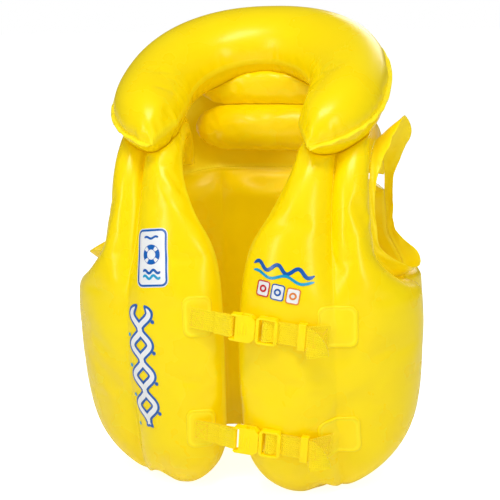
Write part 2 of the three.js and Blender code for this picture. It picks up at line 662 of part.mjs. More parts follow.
function closure({ name, height, tilt }) {
  const strap = new THREE.Group();
  const reach = WEBBING.width / 2;
  const nearest = (x, z) => Math.min(faceY(x, z - reach), faceY(x, z), faceY(x, z + reach));
  // The strap's middle plane stands just clear of the fuller of the two lobes.
  const standOff = THICK + CLEARANCE - LAID;
  const middleY = Math.min(...UNDER_BUCKLE.map((x) => nearest(BUCKLE.x + x, height))) - standOff;
  strap.position.set(BUCKLE.x, middleY, height);
  strap.rotation.y = deg(tilt);
  vest.add(strap);

  // Height along the sloping strap at a place across the vest.
  const slope = Math.tan(deg(tilt));
  const heightAt = (x) => height - (x - BUCKLE.x) * slope;
  const clearOf = (x) => nearest(x, heightAt(x)) - 2 * CLEARANCE - middleY;

  // Webbing pulled straight between two places along the strap, or over the lobe where it is fuller.
  const taut = (from, to, count) =>
    Array.from({ length: count + 1 }, (_, k) => {
      const x = mix(from[0], to[0], k / count);
      return [x, Math.min(mix(from[1], to[1], k / count), clearOf(x + BUCKLE.x))];
    });

  const { rightFrom, rightTo, leftCentre, leftWidth, corner } = PATCH;
  const halfHigh = PATCH.height / 2;
  const rightZ = heightAt((rightFrom + rightTo) / 2);
  const leftZ = heightAt(leftCentre) + PATCH.leftRise;
  const rightBar = roundedBar(rightFrom, rightTo, rightZ - halfHigh, rightZ + halfHigh, corner);
  const leftEdges = [leftCentre - leftWidth / 2, leftCentre + leftWidth / 2];
  const leftBar = roundedBar(...leftEdges, leftZ - halfHigh, leftZ + halfHigh, corner);
  const rightChamber = (grow) => mirrored(frontChamber(grow));
  add(`${name}_patch_right`, weldedPatch(rightBar, rightChamber), WELD_YELLOW);
  add(`${name}_patch_left`, weldedPatch(leftBar, frontChamber), WELD_YELLOW);

  // The fixed end goes from its patch through the socket's slot, round the end bar and back.
  const turnX = SOCKET_END + BAR + WEBBING.thickness / 2 + 0.5;
  const anchorX = rightFrom + 6 - BUCKLE.x;
  const anchor = [
    ...taut([anchorX, clearOf(anchorX + BUCKLE.x)], [SOCKET_END - 6, 2.2], 5),
    [SOCKET_END, WRAP],
    [turnX - 0.9, WRAP],
    [turnX, 0.9],
    [turnX, -0.9],
    [turnX - 0.9, -WRAP],
    [SOCKET_END, -WRAP],
    [SOCKET_END - 6, 0.2],
  ];
  add(`${name}_anchor_strap`, webbing(anchor), WEBBING_YELLOW, strap);
  add(`${name}_buckle_socket`, buckleSocket(), BUCKLE_YELLOW, strap);
  add(`${name}_buckle_plug`, bucklePlug(), BUCKLE_YELLOW, strap);
  add(`${name}_prong_top`, buckleProng(1), BUCKLE_YELLOW, strap);
  add(`${name}_prong_bottom`, buckleProng(-1), BUCKLE_YELLOW, strap);

  // The adjustable end comes off the left patch, goes under the outer bar and round the ladder
  // bar, and returns over itself through the keeper as a free tail.
  const patchX = leftCentre - 6 - BUCKLE.x;
  const keeperMiddle = KEEPER.x + KEEPER.length / 2;
  const turn = LADDER.first - WEBBING.thickness / 2 - 0.8;
  const adjust = [
    ...taut([patchX, clearOf(patchX + BUCKLE.x)], [KEEPER.x + KEEPER.length + 2, 1.4], 6),
    [keeperMiddle, 1.1],
    [PLUG_END + 6, LOAD_Y + 0.2],
    [PLUG_END, LOAD_Y],
    [turn + 1.2, LOAD_Y],
    [turn, 0.9],
    [turn, -0.9],
    [turn + 1.2, -WRAP],
    [LADDER.first + BAR - 0.3, -WRAP],
    [LADDER.first + BAR + 2.2, -0.7],
    [PLUG_END - BAR, TAIL_Y],
    [PLUG_END, TAIL_Y],
    [PLUG_END + 6, TAIL_Y - 0.5],
    [keeperMiddle, -1.2],
    [KEEPER.x + KEEPER.length + 10, -1.6],
  ];
  add(`${name}_adjust_strap`, webbing(adjust), WEBBING_YELLOW, strap);
  add(`${name}_strap_keeper`, strapKeeper(), BUCKLE_YELLOW, strap);
}

// ---------------------------------------------------------------- armhole flanges
// The welded films run on past each armhole's edge as a flat band: down the front, across the
// armpit, up the back and over the shoulder.
function armholeFlange(shape) {
  const backWidth = through([ARMPIT_HEIGHT, shape.armpit], [ARMPIT_HEIGHT + 40, shape.back], [BACK_TOP, shape.back]);
  const frontWidth = through(
    [ARMPIT_HEIGHT, shape.armpit],
    [ARMPIT_HEIGHT + 40, shape.front],
    [ARMPIT_HEIGHT + 150, shape.front],
    [TRUNK_HEIGHT + (SHOULDER_RADIUS * Math.PI) / 2, shape.ridge],
    [FRONT_RUN_END, shape.back],
  );
  const atArmhole = (run) => run > ARMPIT_HEIGHT;
  const seamRow = (runs) => runs.filter((run) => run <= ARMPIT_HEIGHT).at(-1);
  const rise = (run) => shape.rise * Math.sin(Math.max(0, run - TRUNK_HEIGHT) / SHOULDER_RADIUS) ** 2;
  const frontEdge = FRONT_RUNS.filter(atArmhole).map((run) => {
    return { ...frontMiddle(run, 1), inside: frontMiddle(run, 0.9), width: frontWidth(run), rise: rise(run) };
  });
  const backEdge = BACK_RUNS.filter(atArmhole).map((run) => {
    return { ...backMiddle(run, 0), inside: backMiddle(run, 0.05), width: backWidth(run), rise: 0 };
  });
  const seamTops = [frontMiddle(seamRow(FRONT_RUNS), 1).point, backMiddle(seamRow(BACK_RUNS), 0).point];
  const armpitPoint = seamTops[0].z > seamTops[1].z ? seamTops[0] : seamTops[1];
  armpitPoint.y = 0;
  const armpit = {
    point: armpitPoint,
    normal: new THREE.Vector3(1, 0, 0),
    inside: { point: armpitPoint.clone().add(new THREE.Vector3(0, 0, -10)) },
    width: shape.armpit,
    rise: 0,
  };
  const edge = [armpit, ...frontEdge, ...backEdge.reverse()];
  const sections = edge.map(({ point, normal, inside, width, rise }, k) => {
    const before = edge[(k + edge.length - 1) % edge.length].point;
    const after = edge[(k + 1) % edge.length].point;
    const along = after.clone().sub(before).normalize();
    const onward = normal.clone().cross(along).normalize();
    if (onward.dot(point.clone().sub(inside.point)) < 0) onward.negate();
    const outward = onward.clone().multiplyScalar(0.45).add(new THREE.Vector3(0.8, 0, rise));
    outward.addScaledVector(along, -outward.dot(along)).normalize();
    const thick = along.clone().cross(outward).multiplyScalar(FILM / 2);
    const root = point.clone().addScaledVector(onward, CLEARANCE + FILM);
    const tip = root.clone().addScaledVector(outward, width);
    return [root.clone().add(thick), tip.clone().add(thick), tip.clone().sub(thick), root.clone().sub(thick)];
  });
  return toSolid(closeLoop(sections));
}

// ---------------------------------------------------------------- valves
// Each valve stands along its own +Z, with the chamber's face at zero.
const cylinder = (radius, from, to, sides = 24) =>
  new THREE.CylinderGeometry(radius, radius, to - from, sides).rotateX(Math.PI / 2).translate(0, 0, (from + to) / 2);
const turned = (profile, sides = 20) => {
  const outline = profile.map(([r, z]) => new THREE.Vector2(r, z));
  return toSolid(new THREE.LatheGeometry([...outline, outline[0]], sides).rotateX(Math.PI / 2));
};
const POCKET_RADIUS = VALVE.stemRadius + 0.5;
const LIP = FILM + 2 * CLEARANCE; // underside of the stem's lip
const LIP_TOP = LIP + 1.4;
const EAR = { from: -VALVE.lipRadius - 2.6, halfWidth: 2 };

function valveSeat(point, outward) {
  const seat = new THREE.Object3D();
  seat.position.copy(point);
  const across = new THREE.Vector3(0, 0, 1).cross(outward).normalize();
  const up = outward.clone().cross(across);
  seat.quaternion.setFromRotationMatrix(new THREE.Matrix4().makeBasis(up.negate(), across, outward));
  seat.updateMatrix();
  return seat;
}

const seated = (geometry, seat) => toSolid(geometry.clone().applyMatrix4(seat.matrix));
const pocket = (seat) => seated(cylinder(POCKET_RADIUS, -VALVE.length - 9, 9), seat);

function valve(name, seat, chamber) {
  const group = new THREE.Group();
  group.position.copy(seat.position);
  group.quaternion.copy(seat.quaternion);
  vest.add(group);
  const disc = seated(cylinder(VALVE.weldRadius, -6, 6), seat);
  add(`${name}_valve_weld`, weldedPatch(disc, chamber).subtract(pocket(seat)), WELD_YELLOW);

  const { bore, stemRadius, length, lipRadius, capHeight } = VALVE;
  const tube = turned([
    [bore, -length],
    [stemRadius, -length],
    [stemRadius, LIP],
    [lipRadius, LIP],
    [lipRadius, LIP_TOP],
    [bore, LIP_TOP],
  ]);
  const ear = block(EAR.from, -stemRadius, -EAR.halfWidth, EAR.halfWidth, LIP, LIP_TOP);
  add(`${name}_valve_stem`, tube.add(ear), VALVE_CLEAR, group);

  const under = LIP_TOP + CLEARANCE;
  const cap = turned([
    [0, under - 3],
    [bore - 0.8, under - 3],
    [bore - 0.4, under],
    [lipRadius - 0.3, under],
    [lipRadius - 0.3, under + capHeight],
    [0, under + capHeight],
  ]);
  const tether = block(EAR.from, -bore - 1, -EAR.halfWidth, EAR.halfWidth, under, under + 0.9);
  add(`${name}_valve_cap`, cap.add(tether), VALVE_CLEAR, group);

  const flapTop = -length - CLEARANCE;
  add(`${name}_valve_flap`, toSolid(cylinder(stemRadius - 0.5, flapTop - 0.6, flapTop)), VALVE_CLEAR, group);
}

const collarSeat = (() => {
  const [turn, around] = [0.42, -0.75]; // round the collar from the back, and round its section
  const ring = (at) => collarRing(at, 360, 0);
  const pick = (at, part) => ring(at)[(Math.round((part * 180) / Math.PI) + 360) % 360 + 3];
  const point = pick(turn, around);
  const along = pick(turn + 0.01, around).sub(pick(turn - 0.01, around));
  const over = pick(turn, around + 0.035).sub(pick(turn, around - 0.035));
  return valveSeat(point, over.cross(along).normalize());
})();

function panelSeat(place, face, run, share, mirror) {
  const point = place(run, share, face);
  const along = place(run + 2, share, face).sub(place(run - 2, share, face));
  const across = place(run, share + 0.01, face).sub(place(run, share - 0.01, face));
  const outward = across.cross(along).normalize().multiplyScalar(face === "out" ? 1 : -1);
  const flip = new THREE.Vector3(mirror ? -1 : 1, 1, 1);
  return valveSeat(point.multiply(flip), outward.multiply(flip));
}
const frontSeat = panelSeat(frontPoint, "in", 125, 0.2, true); // on the side towards the wearer
const backSeat = panelSeat(backPoint, "out", 62, 0.76, false);

// ---------------------------------------------------------------- the vest
add("collar_chamber", collarChamber().subtract(pocket(collarSeat)), FILM_YELLOW);
add("neck_roll", roll(NECK_ROLL).subtract(collarRoom), FILM_YELLOW);
add("neck_web", roll(NECK_WEB).subtract(collarRoom).subtract(rollRoom), FILM_YELLOW);
add("neck_panel", neckFilm, FILM_YELLOW);
add("front_chamber_left", frontLeft, FILM_YELLOW);
add("front_chamber_right", frontRight.subtract(pocket(frontSeat)), FILM_YELLOW);
add("back_chamber", backSolid.subtract(pocket(backSeat)), FILM_YELLOW);
add("armhole_flange_left", armholeFlange(FLANGE.left), WELD_YELLOW);
add("armhole_flange_right", mirrored(armholeFlange(FLANGE.right)), WELD_YELLOW);
CLOSURES.forEach(closure);
valve("collar", collarSeat, collarChamber);
valve("front", frontSeat, (grow) => mirrored(frontChamber(grow)));
valve("back", backSeat, backChamber);

// The origin goes to the middle of the bounding box at floor level.
const extent = new THREE.Box3().setFromObject(vest);
vest.position.set(-(extent.min.x + extent.max.x) / 2, -(extent.min.y + extent.max.y) / 2, 0);

export default vest;
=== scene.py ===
"""Inflatable swim vest: welded film chambers, webbing closures and push-in air valves."""
import json
import logging
import math
from dataclasses import dataclass, field
from enum import Enum
from typing import Callable, Sequence

import bmesh
import bpy
import numpy as np
from mathutils import Matrix, Quaternion, Vector, noise
from mathutils.bvhtree import BVHTree
from mathutils.kdtree import KDTree


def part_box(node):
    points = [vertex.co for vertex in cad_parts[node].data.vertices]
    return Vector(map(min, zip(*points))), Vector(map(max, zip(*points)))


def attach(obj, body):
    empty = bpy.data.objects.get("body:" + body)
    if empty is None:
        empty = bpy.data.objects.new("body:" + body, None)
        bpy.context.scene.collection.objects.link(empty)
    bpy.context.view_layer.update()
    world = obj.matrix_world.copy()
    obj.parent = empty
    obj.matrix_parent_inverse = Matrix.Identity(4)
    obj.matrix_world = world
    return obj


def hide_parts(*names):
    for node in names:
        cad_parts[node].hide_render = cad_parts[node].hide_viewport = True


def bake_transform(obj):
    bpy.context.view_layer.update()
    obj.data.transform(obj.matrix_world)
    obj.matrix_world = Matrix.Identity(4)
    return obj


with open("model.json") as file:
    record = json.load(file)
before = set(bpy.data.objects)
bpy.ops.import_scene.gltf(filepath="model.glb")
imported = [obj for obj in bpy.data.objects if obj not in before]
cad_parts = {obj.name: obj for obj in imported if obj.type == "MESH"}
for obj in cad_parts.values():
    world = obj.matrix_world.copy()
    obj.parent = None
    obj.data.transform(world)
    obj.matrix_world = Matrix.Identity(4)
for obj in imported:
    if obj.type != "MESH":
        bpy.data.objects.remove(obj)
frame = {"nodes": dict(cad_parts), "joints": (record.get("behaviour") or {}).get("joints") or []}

logging.basicConfig(level=logging.INFO, format="%(message)s")
log = logging.getLogger("vest")

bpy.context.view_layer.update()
MM = 0.001
SHIFT = np.array([0.0, -0.94426, 0.0])  # from the pattern's own centre to the frame's origin, mm
FILM = 1.0
CLEARANCE = 0.3

Curve = Callable[[np.ndarray], np.ndarray]


class Slot(Enum):
    """The record's material slots."""

    FILM = "pvc_film"
    WELD = "weld_band"
    WEBBING = "webbing"
    BUCKLE = "buckle"
    VALVE = "valve"


class Face(Enum):
    """The two films of a chamber: away from the wearer, and towards them."""

    OUT = 1
    IN = -1


# ---------------------------------------------------------------- small mathematics
def through(*stations: tuple[float, float]) -> Curve:
    """A smooth curve through a few stations.

    Args:
        stations: Pairs of where and value, in rising order.

    Returns:
        A function of an array that holds still beyond both ends.
    """
    where = np.array([s[0] for s in stations], float)
    value = np.array([s[1] for s in stations], float)
    last = len(where) - 1

    def evaluate(at: np.ndarray) -> np.ndarray:
        """The curve's values at an array of places."""
        t = np.clip(np.asarray(at, float), where[0], where[-1])
        after = np.clip(np.searchsorted(where, t, side="right"), 1, last)
        t0, t1 = where[after - 1], where[after]
        first, final = after < 2, after + 1 > last
        before = np.where(first, after, after - 2)
        beyond = np.where(final, after - 1, np.minimum(after + 1, last))
        half = (t1 - t0) / 2
        w_before = half / (t0 - np.where(first, t1, where[before]))
        w_beyond = half / (np.where(final, t0, where[beyond]) - t1)
        p = (t - t0) / (t1 - t0)
        pp, ppp = p * p, p * p * p
        return (
            (-w_before * ppp + 2 * w_before * pp - w_before * p) * value[before]
            + ((1 + w_before) * ppp - (1.5 + 2 * w_before) * pp + (w_before - 0.5) * p + 1) * value[after - 1]
            + (-(1 + w_beyond) * ppp + (1.5 + w_beyond) * pp + 0.5 * p) * value[after]
            + (w_beyond * ppp - w_beyond * pp) * value[beyond]
        )

    return evaluate


def smooth(value: np.ndarray, low: float, high: float) -> np.ndarray:
    """A smooth step from 0 at low to 1 at high."""
    t = np.clip((value - low) / (high - low), 0, 1)
    return t * t * (3 - 2 * t)


def mix(a: np.ndarray, b: np.ndarray, t: np.ndarray) -> np.ndarray:
    """The value a share t of the way from a to b."""
    return a + (b - a) * t


def unit(vectors: np.ndarray) -> np.ndarray:
    """The vectors, each made one long."""
    return vectors / np.maximum(np.linalg.norm(vectors, axis=-1, keepdims=True), 1e-9)


def lens(share: np.ndarray) -> np.ndarray:
    """The swell of two welded films across their width, square to both welds."""
    return np.sqrt(np.maximum(0, 1 - (2 * share - 1) ** 2))


def rounded_end(distance: np.ndarray, length: float) -> np.ndarray:
    """The swell near a chamber's end, full at the given length from it."""
    return lens(np.minimum(1, np.maximum(0, distance) / length) / 2)


def lobes(share: np.ndarray, creases: Sequence[np.ndarray], pinch: np.ndarray) -> np.ndarray:
    """The swell across lobes.

    Args:
        share: Places across the chamber, 0 to 1.
        creases: Where the creases stand, as shares, each an array like share.
        pinch: How deep the creases are: 0 is one lobe, 1 reaches the weld.

    Returns:
        The swell at each place, 0 to 1.
    """
    edges = [np.zeros_like(share), *creases, np.ones_like(share)]
    own = np.zeros_like(share)
    for low, high in zip(edges, edges[1:]):
        inside = (share >= low) & (share <= high)
        own = np.where(inside, lens((share - low) / (high - low)), own)
    return np.sqrt((1 - pinch) * lens(share) ** 2 + pinch * own**2)


def spread(edges: Sequence[float], steps: int) -> np.ndarray:
    """Places across a chamber from edge to edge, closer together near each edge."""
    turn = (1 - np.cos(np.pi * np.arange(steps + 1) / steps)) / 2
    even = np.arange(steps + 1) / steps
    places = [mix(low, high, mix(even, turn, 0.6)) for low, high in zip(edges, edges[1:])]
    return np.concatenate([places[0], *[p[1:] for p in places[1:]]])


def stations(
    start: float, end: float, start_round: float, end_round: float, steps: int, step: float
) -> np.ndarray:
    """Places along a chamber, closer together at its rounded ends."""
    turn = 1 - np.cos(np.pi * np.arange(steps) / 2 / steps)
    low, high = start + start_round, end - end_round
    middle = np.linspace(low, high, max(2, math.ceil((high - low) / step) + 1))
    return np.concatenate([start + start_round * turn, middle, end - end_round * turn[::-1]])


# ---------------------------------------------------------------- finishes
def socket(node: bpy.types.Node, name: str) -> bpy.types.NodeSocket:
    """A node's input by its name."""
    return node.inputs[name]


def node_group(
    name: str, inputs: dict[str, tuple[str, float]], outputs: dict[str, str]
) -> bpy.types.NodeTree:
    """An empty shader group with named sockets.

    Args:
        name: The group's name.
        inputs: Socket name to its type and default value.
        outputs: Socket name to its type.

    Returns:
        The tree, with its Group Input and Group Output nodes named "in" and "out".
    """
    tree = bpy.data.node_groups.new(name, "ShaderNodeTree")
    for label, (kind, value) in inputs.items():
        item = tree.interface.new_socket(name=label, in_out="INPUT", socket_type=kind)
        item.default_value = value
    for label, kind in outputs.items():
        tree.interface.new_socket(name=label, in_out="OUTPUT", socket_type=kind)
    tree.nodes.new("NodeGroupInput").name = "in"
    tree.nodes.new("NodeGroupOutput").name = "out"
    return tree


class Wiring:
    """Adds and joins nodes of one tree."""

    def __init__(self, tree: bpy.types.NodeTree) -> None:
        """Keeps the tree."""
        self.tree = tree

    def add(self, kind: str, label: str = "", **settings: object) -> bpy.types.Node:
        """A new node with the given settings."""
        node = self.tree.nodes.new(kind)
        node.label = label
        for key, value in settings.items():
            setattr(node, key, value)
        return node

    def feed(self, target: bpy.types.NodeSocket, source: object) -> None:
        """Joins a socket to another one, or sets its value."""
        if isinstance(source, bpy.types.NodeSocket):
            self.tree.links.new(source, target)
        else:
            target.default_value = source

    def math(self, operation: str, a: object, b: object = 0.0, clamp: bool = False) -> bpy.types.NodeSocket:
        """The result of a Math node."""
        node = self.add("ShaderNodeMath", operation=operation, use_clamp=clamp)
        self.feed(node.inputs[0], a)
        self.feed(node.inputs[1], b)
        return node.outputs[0]

    def ramp(
        self, value: object, low: float, high: float, to_low: float = 0.0, to_high: float = 1.0
    ) -> bpy.types.NodeSocket:
        """A value carried smoothly from one range to another."""
        node = self.add("ShaderNodeMapRange", interpolation_type="SMOOTHSTEP")
        self.feed(socket(node, "Value"), value)
        for label, number in (("From Min", low), ("From Max", high), ("To Min", to_low), ("To Max", to_high)):
            socket(node, label).default_value = number
        return node.outputs[0]

    def blend(self, share: object, a: object, b: object, kind: str = "MIX") -> bpy.types.NodeSocket:
        """A mix of two colours."""
        node = self.add("ShaderNodeMix", data_type="RGBA", blend_type=kind)
        self.feed(node.inputs[0], share)
        self.feed(node.inputs[6], a)
        self.feed(node.inputs[7], b)
        return node.outputs[2]

    def noise(
        self, at: object, scale: float, detail: float = 2.0, roughness: float = 0.5
    ) -> bpy.types.NodeSocket:
        """The value of a noise texture."""
        node = self.add("ShaderNodeTexNoise")
        self.feed(socket(node, "Vector"), at)
        socket(node, "Scale").default_value = scale
        socket(node, "Detail").default_value = detail
        socket(node, "Roughness").default_value = roughness
        return node.outputs[0]


def grain_group() -> bpy.types.NodeTree:
    """Fine orange-peel relief with long faint scuffs, for every moulded or cast surface."""
    tree = node_group(
        "surface_grain",
        {"Scale": ("NodeSocketFloat", 400.0), "Scuffs": ("NodeSocketFloat", 0.5)},
        {"Height": "NodeSocketFloat", "Scuff": "NodeSocketFloat", "Tone": "NodeSocketFloat"},
    )
    w = Wiring(tree)
    place = w.add("ShaderNodeTexCoord").outputs["Object"]
    inputs, outputs = tree.nodes["in"].outputs, tree.nodes["out"].inputs
    peel = w.add("ShaderNodeTexNoise")
    w.feed(socket(peel, "Vector"), place)
    w.feed(socket(peel, "Scale"), inputs["Scale"])
    socket(peel, "Detail").default_value = 3.0
    drift = w.noise(place, 22.0, 3.0)
    stretched = w.add("ShaderNodeMapping")
    w.feed(socket(stretched, "Vector"), place)
    socket(stretched, "Scale").default_value = (1.0, 0.25, 0.12)
    socket(stretched, "Rotation").default_value = (0.4, 0.2, 0.5)
    scratch = w.noise(stretched.outputs[0], 420.0, 6.0, 0.7)
    patches = w.ramp(w.noise(place, 14.0, 2.0), 0.5, 0.72)
    scuff = w.math("MULTIPLY", w.math("MULTIPLY", w.ramp(scratch, 0.55, 0.75), patches), inputs["Scuffs"])
    w.feed(outputs["Height"], w.math("SUBTRACT", peel.outputs[0], w.math("MULTIPLY", scuff, 0.5)))
    w.feed(outputs["Scuff"], scuff)
    w.feed(outputs["Tone"], drift)
    return tree


def weld_group() -> bpy.types.NodeTree:
    """The cross-hatched print of a heat-seal bar, wherever the weld attribute is high."""
    tree = node_group(
        "heat_seal",
        {"Pitch": ("NodeSocketFloat", 900.0)},
        {"Mask": "NodeSocketFloat", "Height": "NodeSocketFloat"},
    )
    w = Wiring(tree)
    attribute = w.add("ShaderNodeAttribute", attribute_name="weld").outputs["Fac"]
    place = w.add("ShaderNodeSeparateXYZ")
    w.feed(place.inputs[0], w.add("ShaderNodeTexCoord").outputs["Object"])
    pitch = tree.nodes["in"].outputs["Pitch"]
    lines = [
        w.math(
            "SINE",
            w.math(
                "MULTIPLY",
                w.math(turn, w.math("ADD", place.outputs["X"], place.outputs["Y"]), place.outputs["Z"]),
                pitch,
            ),
        )
        for turn in ("ADD", "SUBTRACT")
    ]
    hatch = w.math("MULTIPLY", w.math("MULTIPLY", lines[0], lines[1]), 0.5)
    mask = w.ramp(attribute, 0.3, 0.75)
    w.feed(tree.nodes["out"].inputs["Mask"], mask)
    w.feed(tree.nodes["out"].inputs["Height"], w.math("MULTIPLY", hatch, mask))
    return tree


GROUPS: dict[str, bpy.types.NodeTree] = {}


@dataclass(frozen=True)
class Finish:
    """A material: its colour, gloss, fine relief and any painted fill light."""

    name: str
    colour: tuple[float, float, float]
    deep: tuple[float, float, float]
    roughness: float = 0.25
    grain: float = 400.0
    relief: float = 0.04
    scuffs: float = 0.5
    coat: float = 0.0
    sheen: float = 0.0
    # painted fill light: emission in the surface's own colour that brightens it everywhere, shaded parts
    # included
    painted_fill_light: float = 0.0
    transmission: float = 0.0
    gleam: tuple[float, float, float] = (1.0, 0.96, 0.65)
    welded: bool = False

    def group(self, w: Wiring, name: str) -> bpy.types.Node:
        """Places a shared group in the material."""
        node = w.add("ShaderNodeGroup")
        node.node_tree = GROUPS[name]
        return node

    def extra_height(self, w: Wiring, height: object) -> object:
        """Adds the finish's own relief to the grain."""
        return height

    def extra_colour(self, w: Wiring, colour: object) -> object:
        """Adds the finish's own colouring."""
        return colour

    def build(self) -> bpy.types.Material:
        """Makes the material."""
        material = bpy.data.materials.new(self.name)
        material.use_nodes = True
        w = Wiring(material.node_tree)
        shader = material.node_tree.nodes["Principled BSDF"]
        grain = self.group(w, "surface_grain")
        socket(grain, "Scale").default_value = self.grain
        socket(grain, "Scuffs").default_value = self.scuffs
        tone = w.ramp(grain.outputs["Tone"], 0.3, 0.7)
        colour = w.blend(tone, (*self.deep, 1.0), (*self.colour, 1.0))
        rough = w.math("ADD", w.ramp(grain.outputs["Tone"], 0.3, 0.7, -0.03, 0.03), self.roughness)
        rough = w.math("ADD", rough, w.math("MULTIPLY", grain.outputs["Scuff"], 0.25), clamp=True)
        height = grain.outputs["Height"]
        if self.welded:
            seal = self.group(w, "heat_seal")
            pale = tuple(min(1.0, c * 1.05 + 0.012) for c in self.colour)
            colour = w.blend(w.math("MULTIPLY", seal.outputs["Mask"], 0.6), colour, (*pale, 1.0))
            rough = w.math("ADD", rough, w.math("MULTIPLY", seal.outputs["Mask"], 0.1), clamp=True)
            height = w.math("ADD", height, w.math("MULTIPLY", seal.outputs["Height"], 3.0))
        colour = self.extra_colour(w, colour)
        height = self.extra_height(w, height)
        bump = w.add("ShaderNodeBump")
        socket(bump, "Strength").default_value = self.relief
        socket(bump, "Distance").default_value = 0.001
        w.feed(socket(bump, "Height"), height)
        w.feed(socket(shader, "Normal"), bump.outputs[0])
        w.feed(socket(shader, "Base Color"), colour)
        w.feed(socket(shader, "Roughness"), rough)
        socket(shader, "IOR").default_value = 1.45
        socket(shader, "Specular Tint").default_value = (*self.gleam, 1.0)
        socket(shader, "Coat Weight").default_value = self.coat
        socket(shader, "Coat Roughness").default_value = 0.12
        socket(shader, "Sheen Weight").default_value = self.sheen
        socket(shader, "Sheen Roughness").default_value = 0.4
        # Painted fill light: the surface emits its own colour, so its shade is painted lighter
        if self.painted_fill_light:
            w.feed(socket(shader, "Emission Color"), colour)
            socket(shader, "Emission Strength").default_value = self.painted_fill_light
        socket(shader, "Transmission Weight").default_value = self.transmission
        return material


@dataclass(frozen=True)
class WovenFinish(Finish):
    """Webbing: a herringbone of fine cords along the strap."""

    tilt: float = 0.0  # radians that the strap slopes

    def extra_height(self, w: Wiring, height: object) -> object:
        """Cords across the strap, crossed by a twill at the finer pitch."""
        turn = w.add("ShaderNodeMapping")
        w.feed(socket(turn, "Vector"), w.add("ShaderNodeTexCoord").outputs["Object"])
        socket(turn, "Rotation").default_value = (0.0, -self.tilt, 0.0)
        place = w.add("ShaderNodeSeparateXYZ")
        w.feed(place.inputs[0], turn.outputs[0])
        along = w.math("MULTIPLY", place.outputs["X"], 2 * math.pi / 0.0016)
        across = w.math("MULTIPLY", place.outputs["Z"], 2 * math.pi / 0.0020)
        zigzag = w.math("PINGPONG", place.outputs["Z"], 0.0025)
        twill = w.math("SINE", w.math("ADD", along, w.math("MULTIPLY", zigzag, 2200.0)))
        cords = w.math("SINE", across)
        weave = w.math("ADD", w.math("MULTIPLY", twill, 0.6), w.math("MULTIPLY", cords, 0.4))
        return w.math("ADD", w.math("MULTIPLY", height, 0.3), weave)


YELLOW = (1.0, 0.77, 0.0)
YELLOW_DEEP = (1.0, 0.74, 0.0)


@dataclass
class Palette:
    """Every finish on the vest, built once."""

    film: bpy.types.Material = field(init=False)
    weld: bpy.types.Material = field(init=False)
    webbing: dict[str, bpy.types.Material] = field(init=False)
    buckle: bpy.types.Material = field(init=False)
    valve: bpy.types.Material = field(init=False)
    thread: bpy.types.Material = field(init=False)
    inks: dict[str, bpy.types.Material] = field(init=False)

    def __post_init__(self) -> None:
        """Builds the shared groups, then the materials."""
        GROUPS["surface_grain"] = grain_group()
        GROUPS["heat_seal"] = weld_group()
        # The glow values below are painted fill light: emission that paints extra light into the film, welds,
        # buckle and webbing
        self.film = Finish(
            "inflated_film", YELLOW, YELLOW_DEEP, 0.28, 260.0, 0.05, 0.35, painted_fill_light=0.05, welded=True
        ).build()
        self.weld = Finish(
            "welded_film", (1.0, 0.80, 0.01), (1.0, 0.76, 0.0), 0.34, 300.0, 0.08, 0.5, painted_fill_light=0.08, welded=True
        ).build()
        self.buckle = Finish(
            "moulded_buckle", (1.0, 0.78, 0.0), (1.0, 0.74, 0.0), 0.38, 900.0, 0.10, 0.8, painted_fill_light=0.12
        ).build()
        self.valve = Finish(
            "soft_clear_valve", (0.95, 0.88, 0.62), (0.9, 0.8, 0.45), 0.22, 500.0, 0.05, 0.3,
            transmission=0.35, gleam=(1.0, 1.0, 1.0),
        ).build()
        self.thread = Finish(
            "polyester_thread", (1.0, 0.74, 0.02), (0.92, 0.60, 0.0), 0.6, 2500.0, 0.25, 0.0, sheen=0.2
        ).build()
        self.webbing = {
            name: WovenFinish(
                f"{name}_webbing", (1.0, 0.78, 0.0), (1.0, 0.73, 0.0), 0.62, 1500.0, 0.5, 0.0,
                sheen=0.25, painted_fill_light=0.12, tilt=tilt,
            ).build()
            for name, tilt in (("upper", math.radians(6)), ("lower", math.radians(5)))
        }
        colours = {
            "white": ((0.93, 0.94, 0.95), (0.88, 0.9, 0.92)),
            "blue": ((0.0, 0.13, 0.52), (0.0, 0.10, 0.44)),
            "sky": ((0.02, 0.42, 0.72), (0.0, 0.34, 0.62)),
            "red": ((0.72, 0.02, 0.03), (0.62, 0.01, 0.02)),
            "orange": ((0.9, 0.28, 0.03), (0.8, 0.22, 0.02)),
        }
        self.inks = {
            n: Finish(f"{n}_ink", a, b, 0.3, 800.0, 0.05, 0.4, coat=0.15, gleam=(1.0, 1.0, 1.0)).build()
            for n, (a, b) in colours.items()
        }


# ---------------------------------------------------------------- pieces
def make_piece(
    name: str, points: np.ndarray, faces: Sequence[Sequence[int]], material: bpy.types.Material
) -> bpy.types.Object:
    """A mesh object with its place in its mesh.

    Args:
        name: The piece's name.
        points: Its vertices in the pattern's millimetres.
        faces: Their indices.
        material: Its finish.

    Returns:
        The object, smooth shaded.
    """
    mesh = bpy.data.meshes.new(name)
    mesh.from_pydata(((points + SHIFT) * MM).tolist(), [], [tuple(int(i) for i in f) for f in faces])
    mesh.materials.append(material)
    mesh.update()
    mesh.shade_smooth()
    piece = bpy.data.objects.new(name, mesh)
    bpy.context.scene.collection.objects.link(piece)
    return piece


def read_points(piece: bpy.types.Object) -> np.ndarray:
    """A piece's vertices, in the pattern's millimetres."""
    flat = np.empty(len(piece.data.vertices) * 3)
    piece.data.vertices.foreach_get("co", flat)
    return flat.reshape(-1, 3) / MM - SHIFT


def write_points(piece: bpy.types.Object, points: np.ndarray) -> None:
    """Puts a piece's vertices at the given millimetres."""
    piece.data.vertices.foreach_set("co", ((points + SHIFT) * MM).ravel())
    piece.data.update()


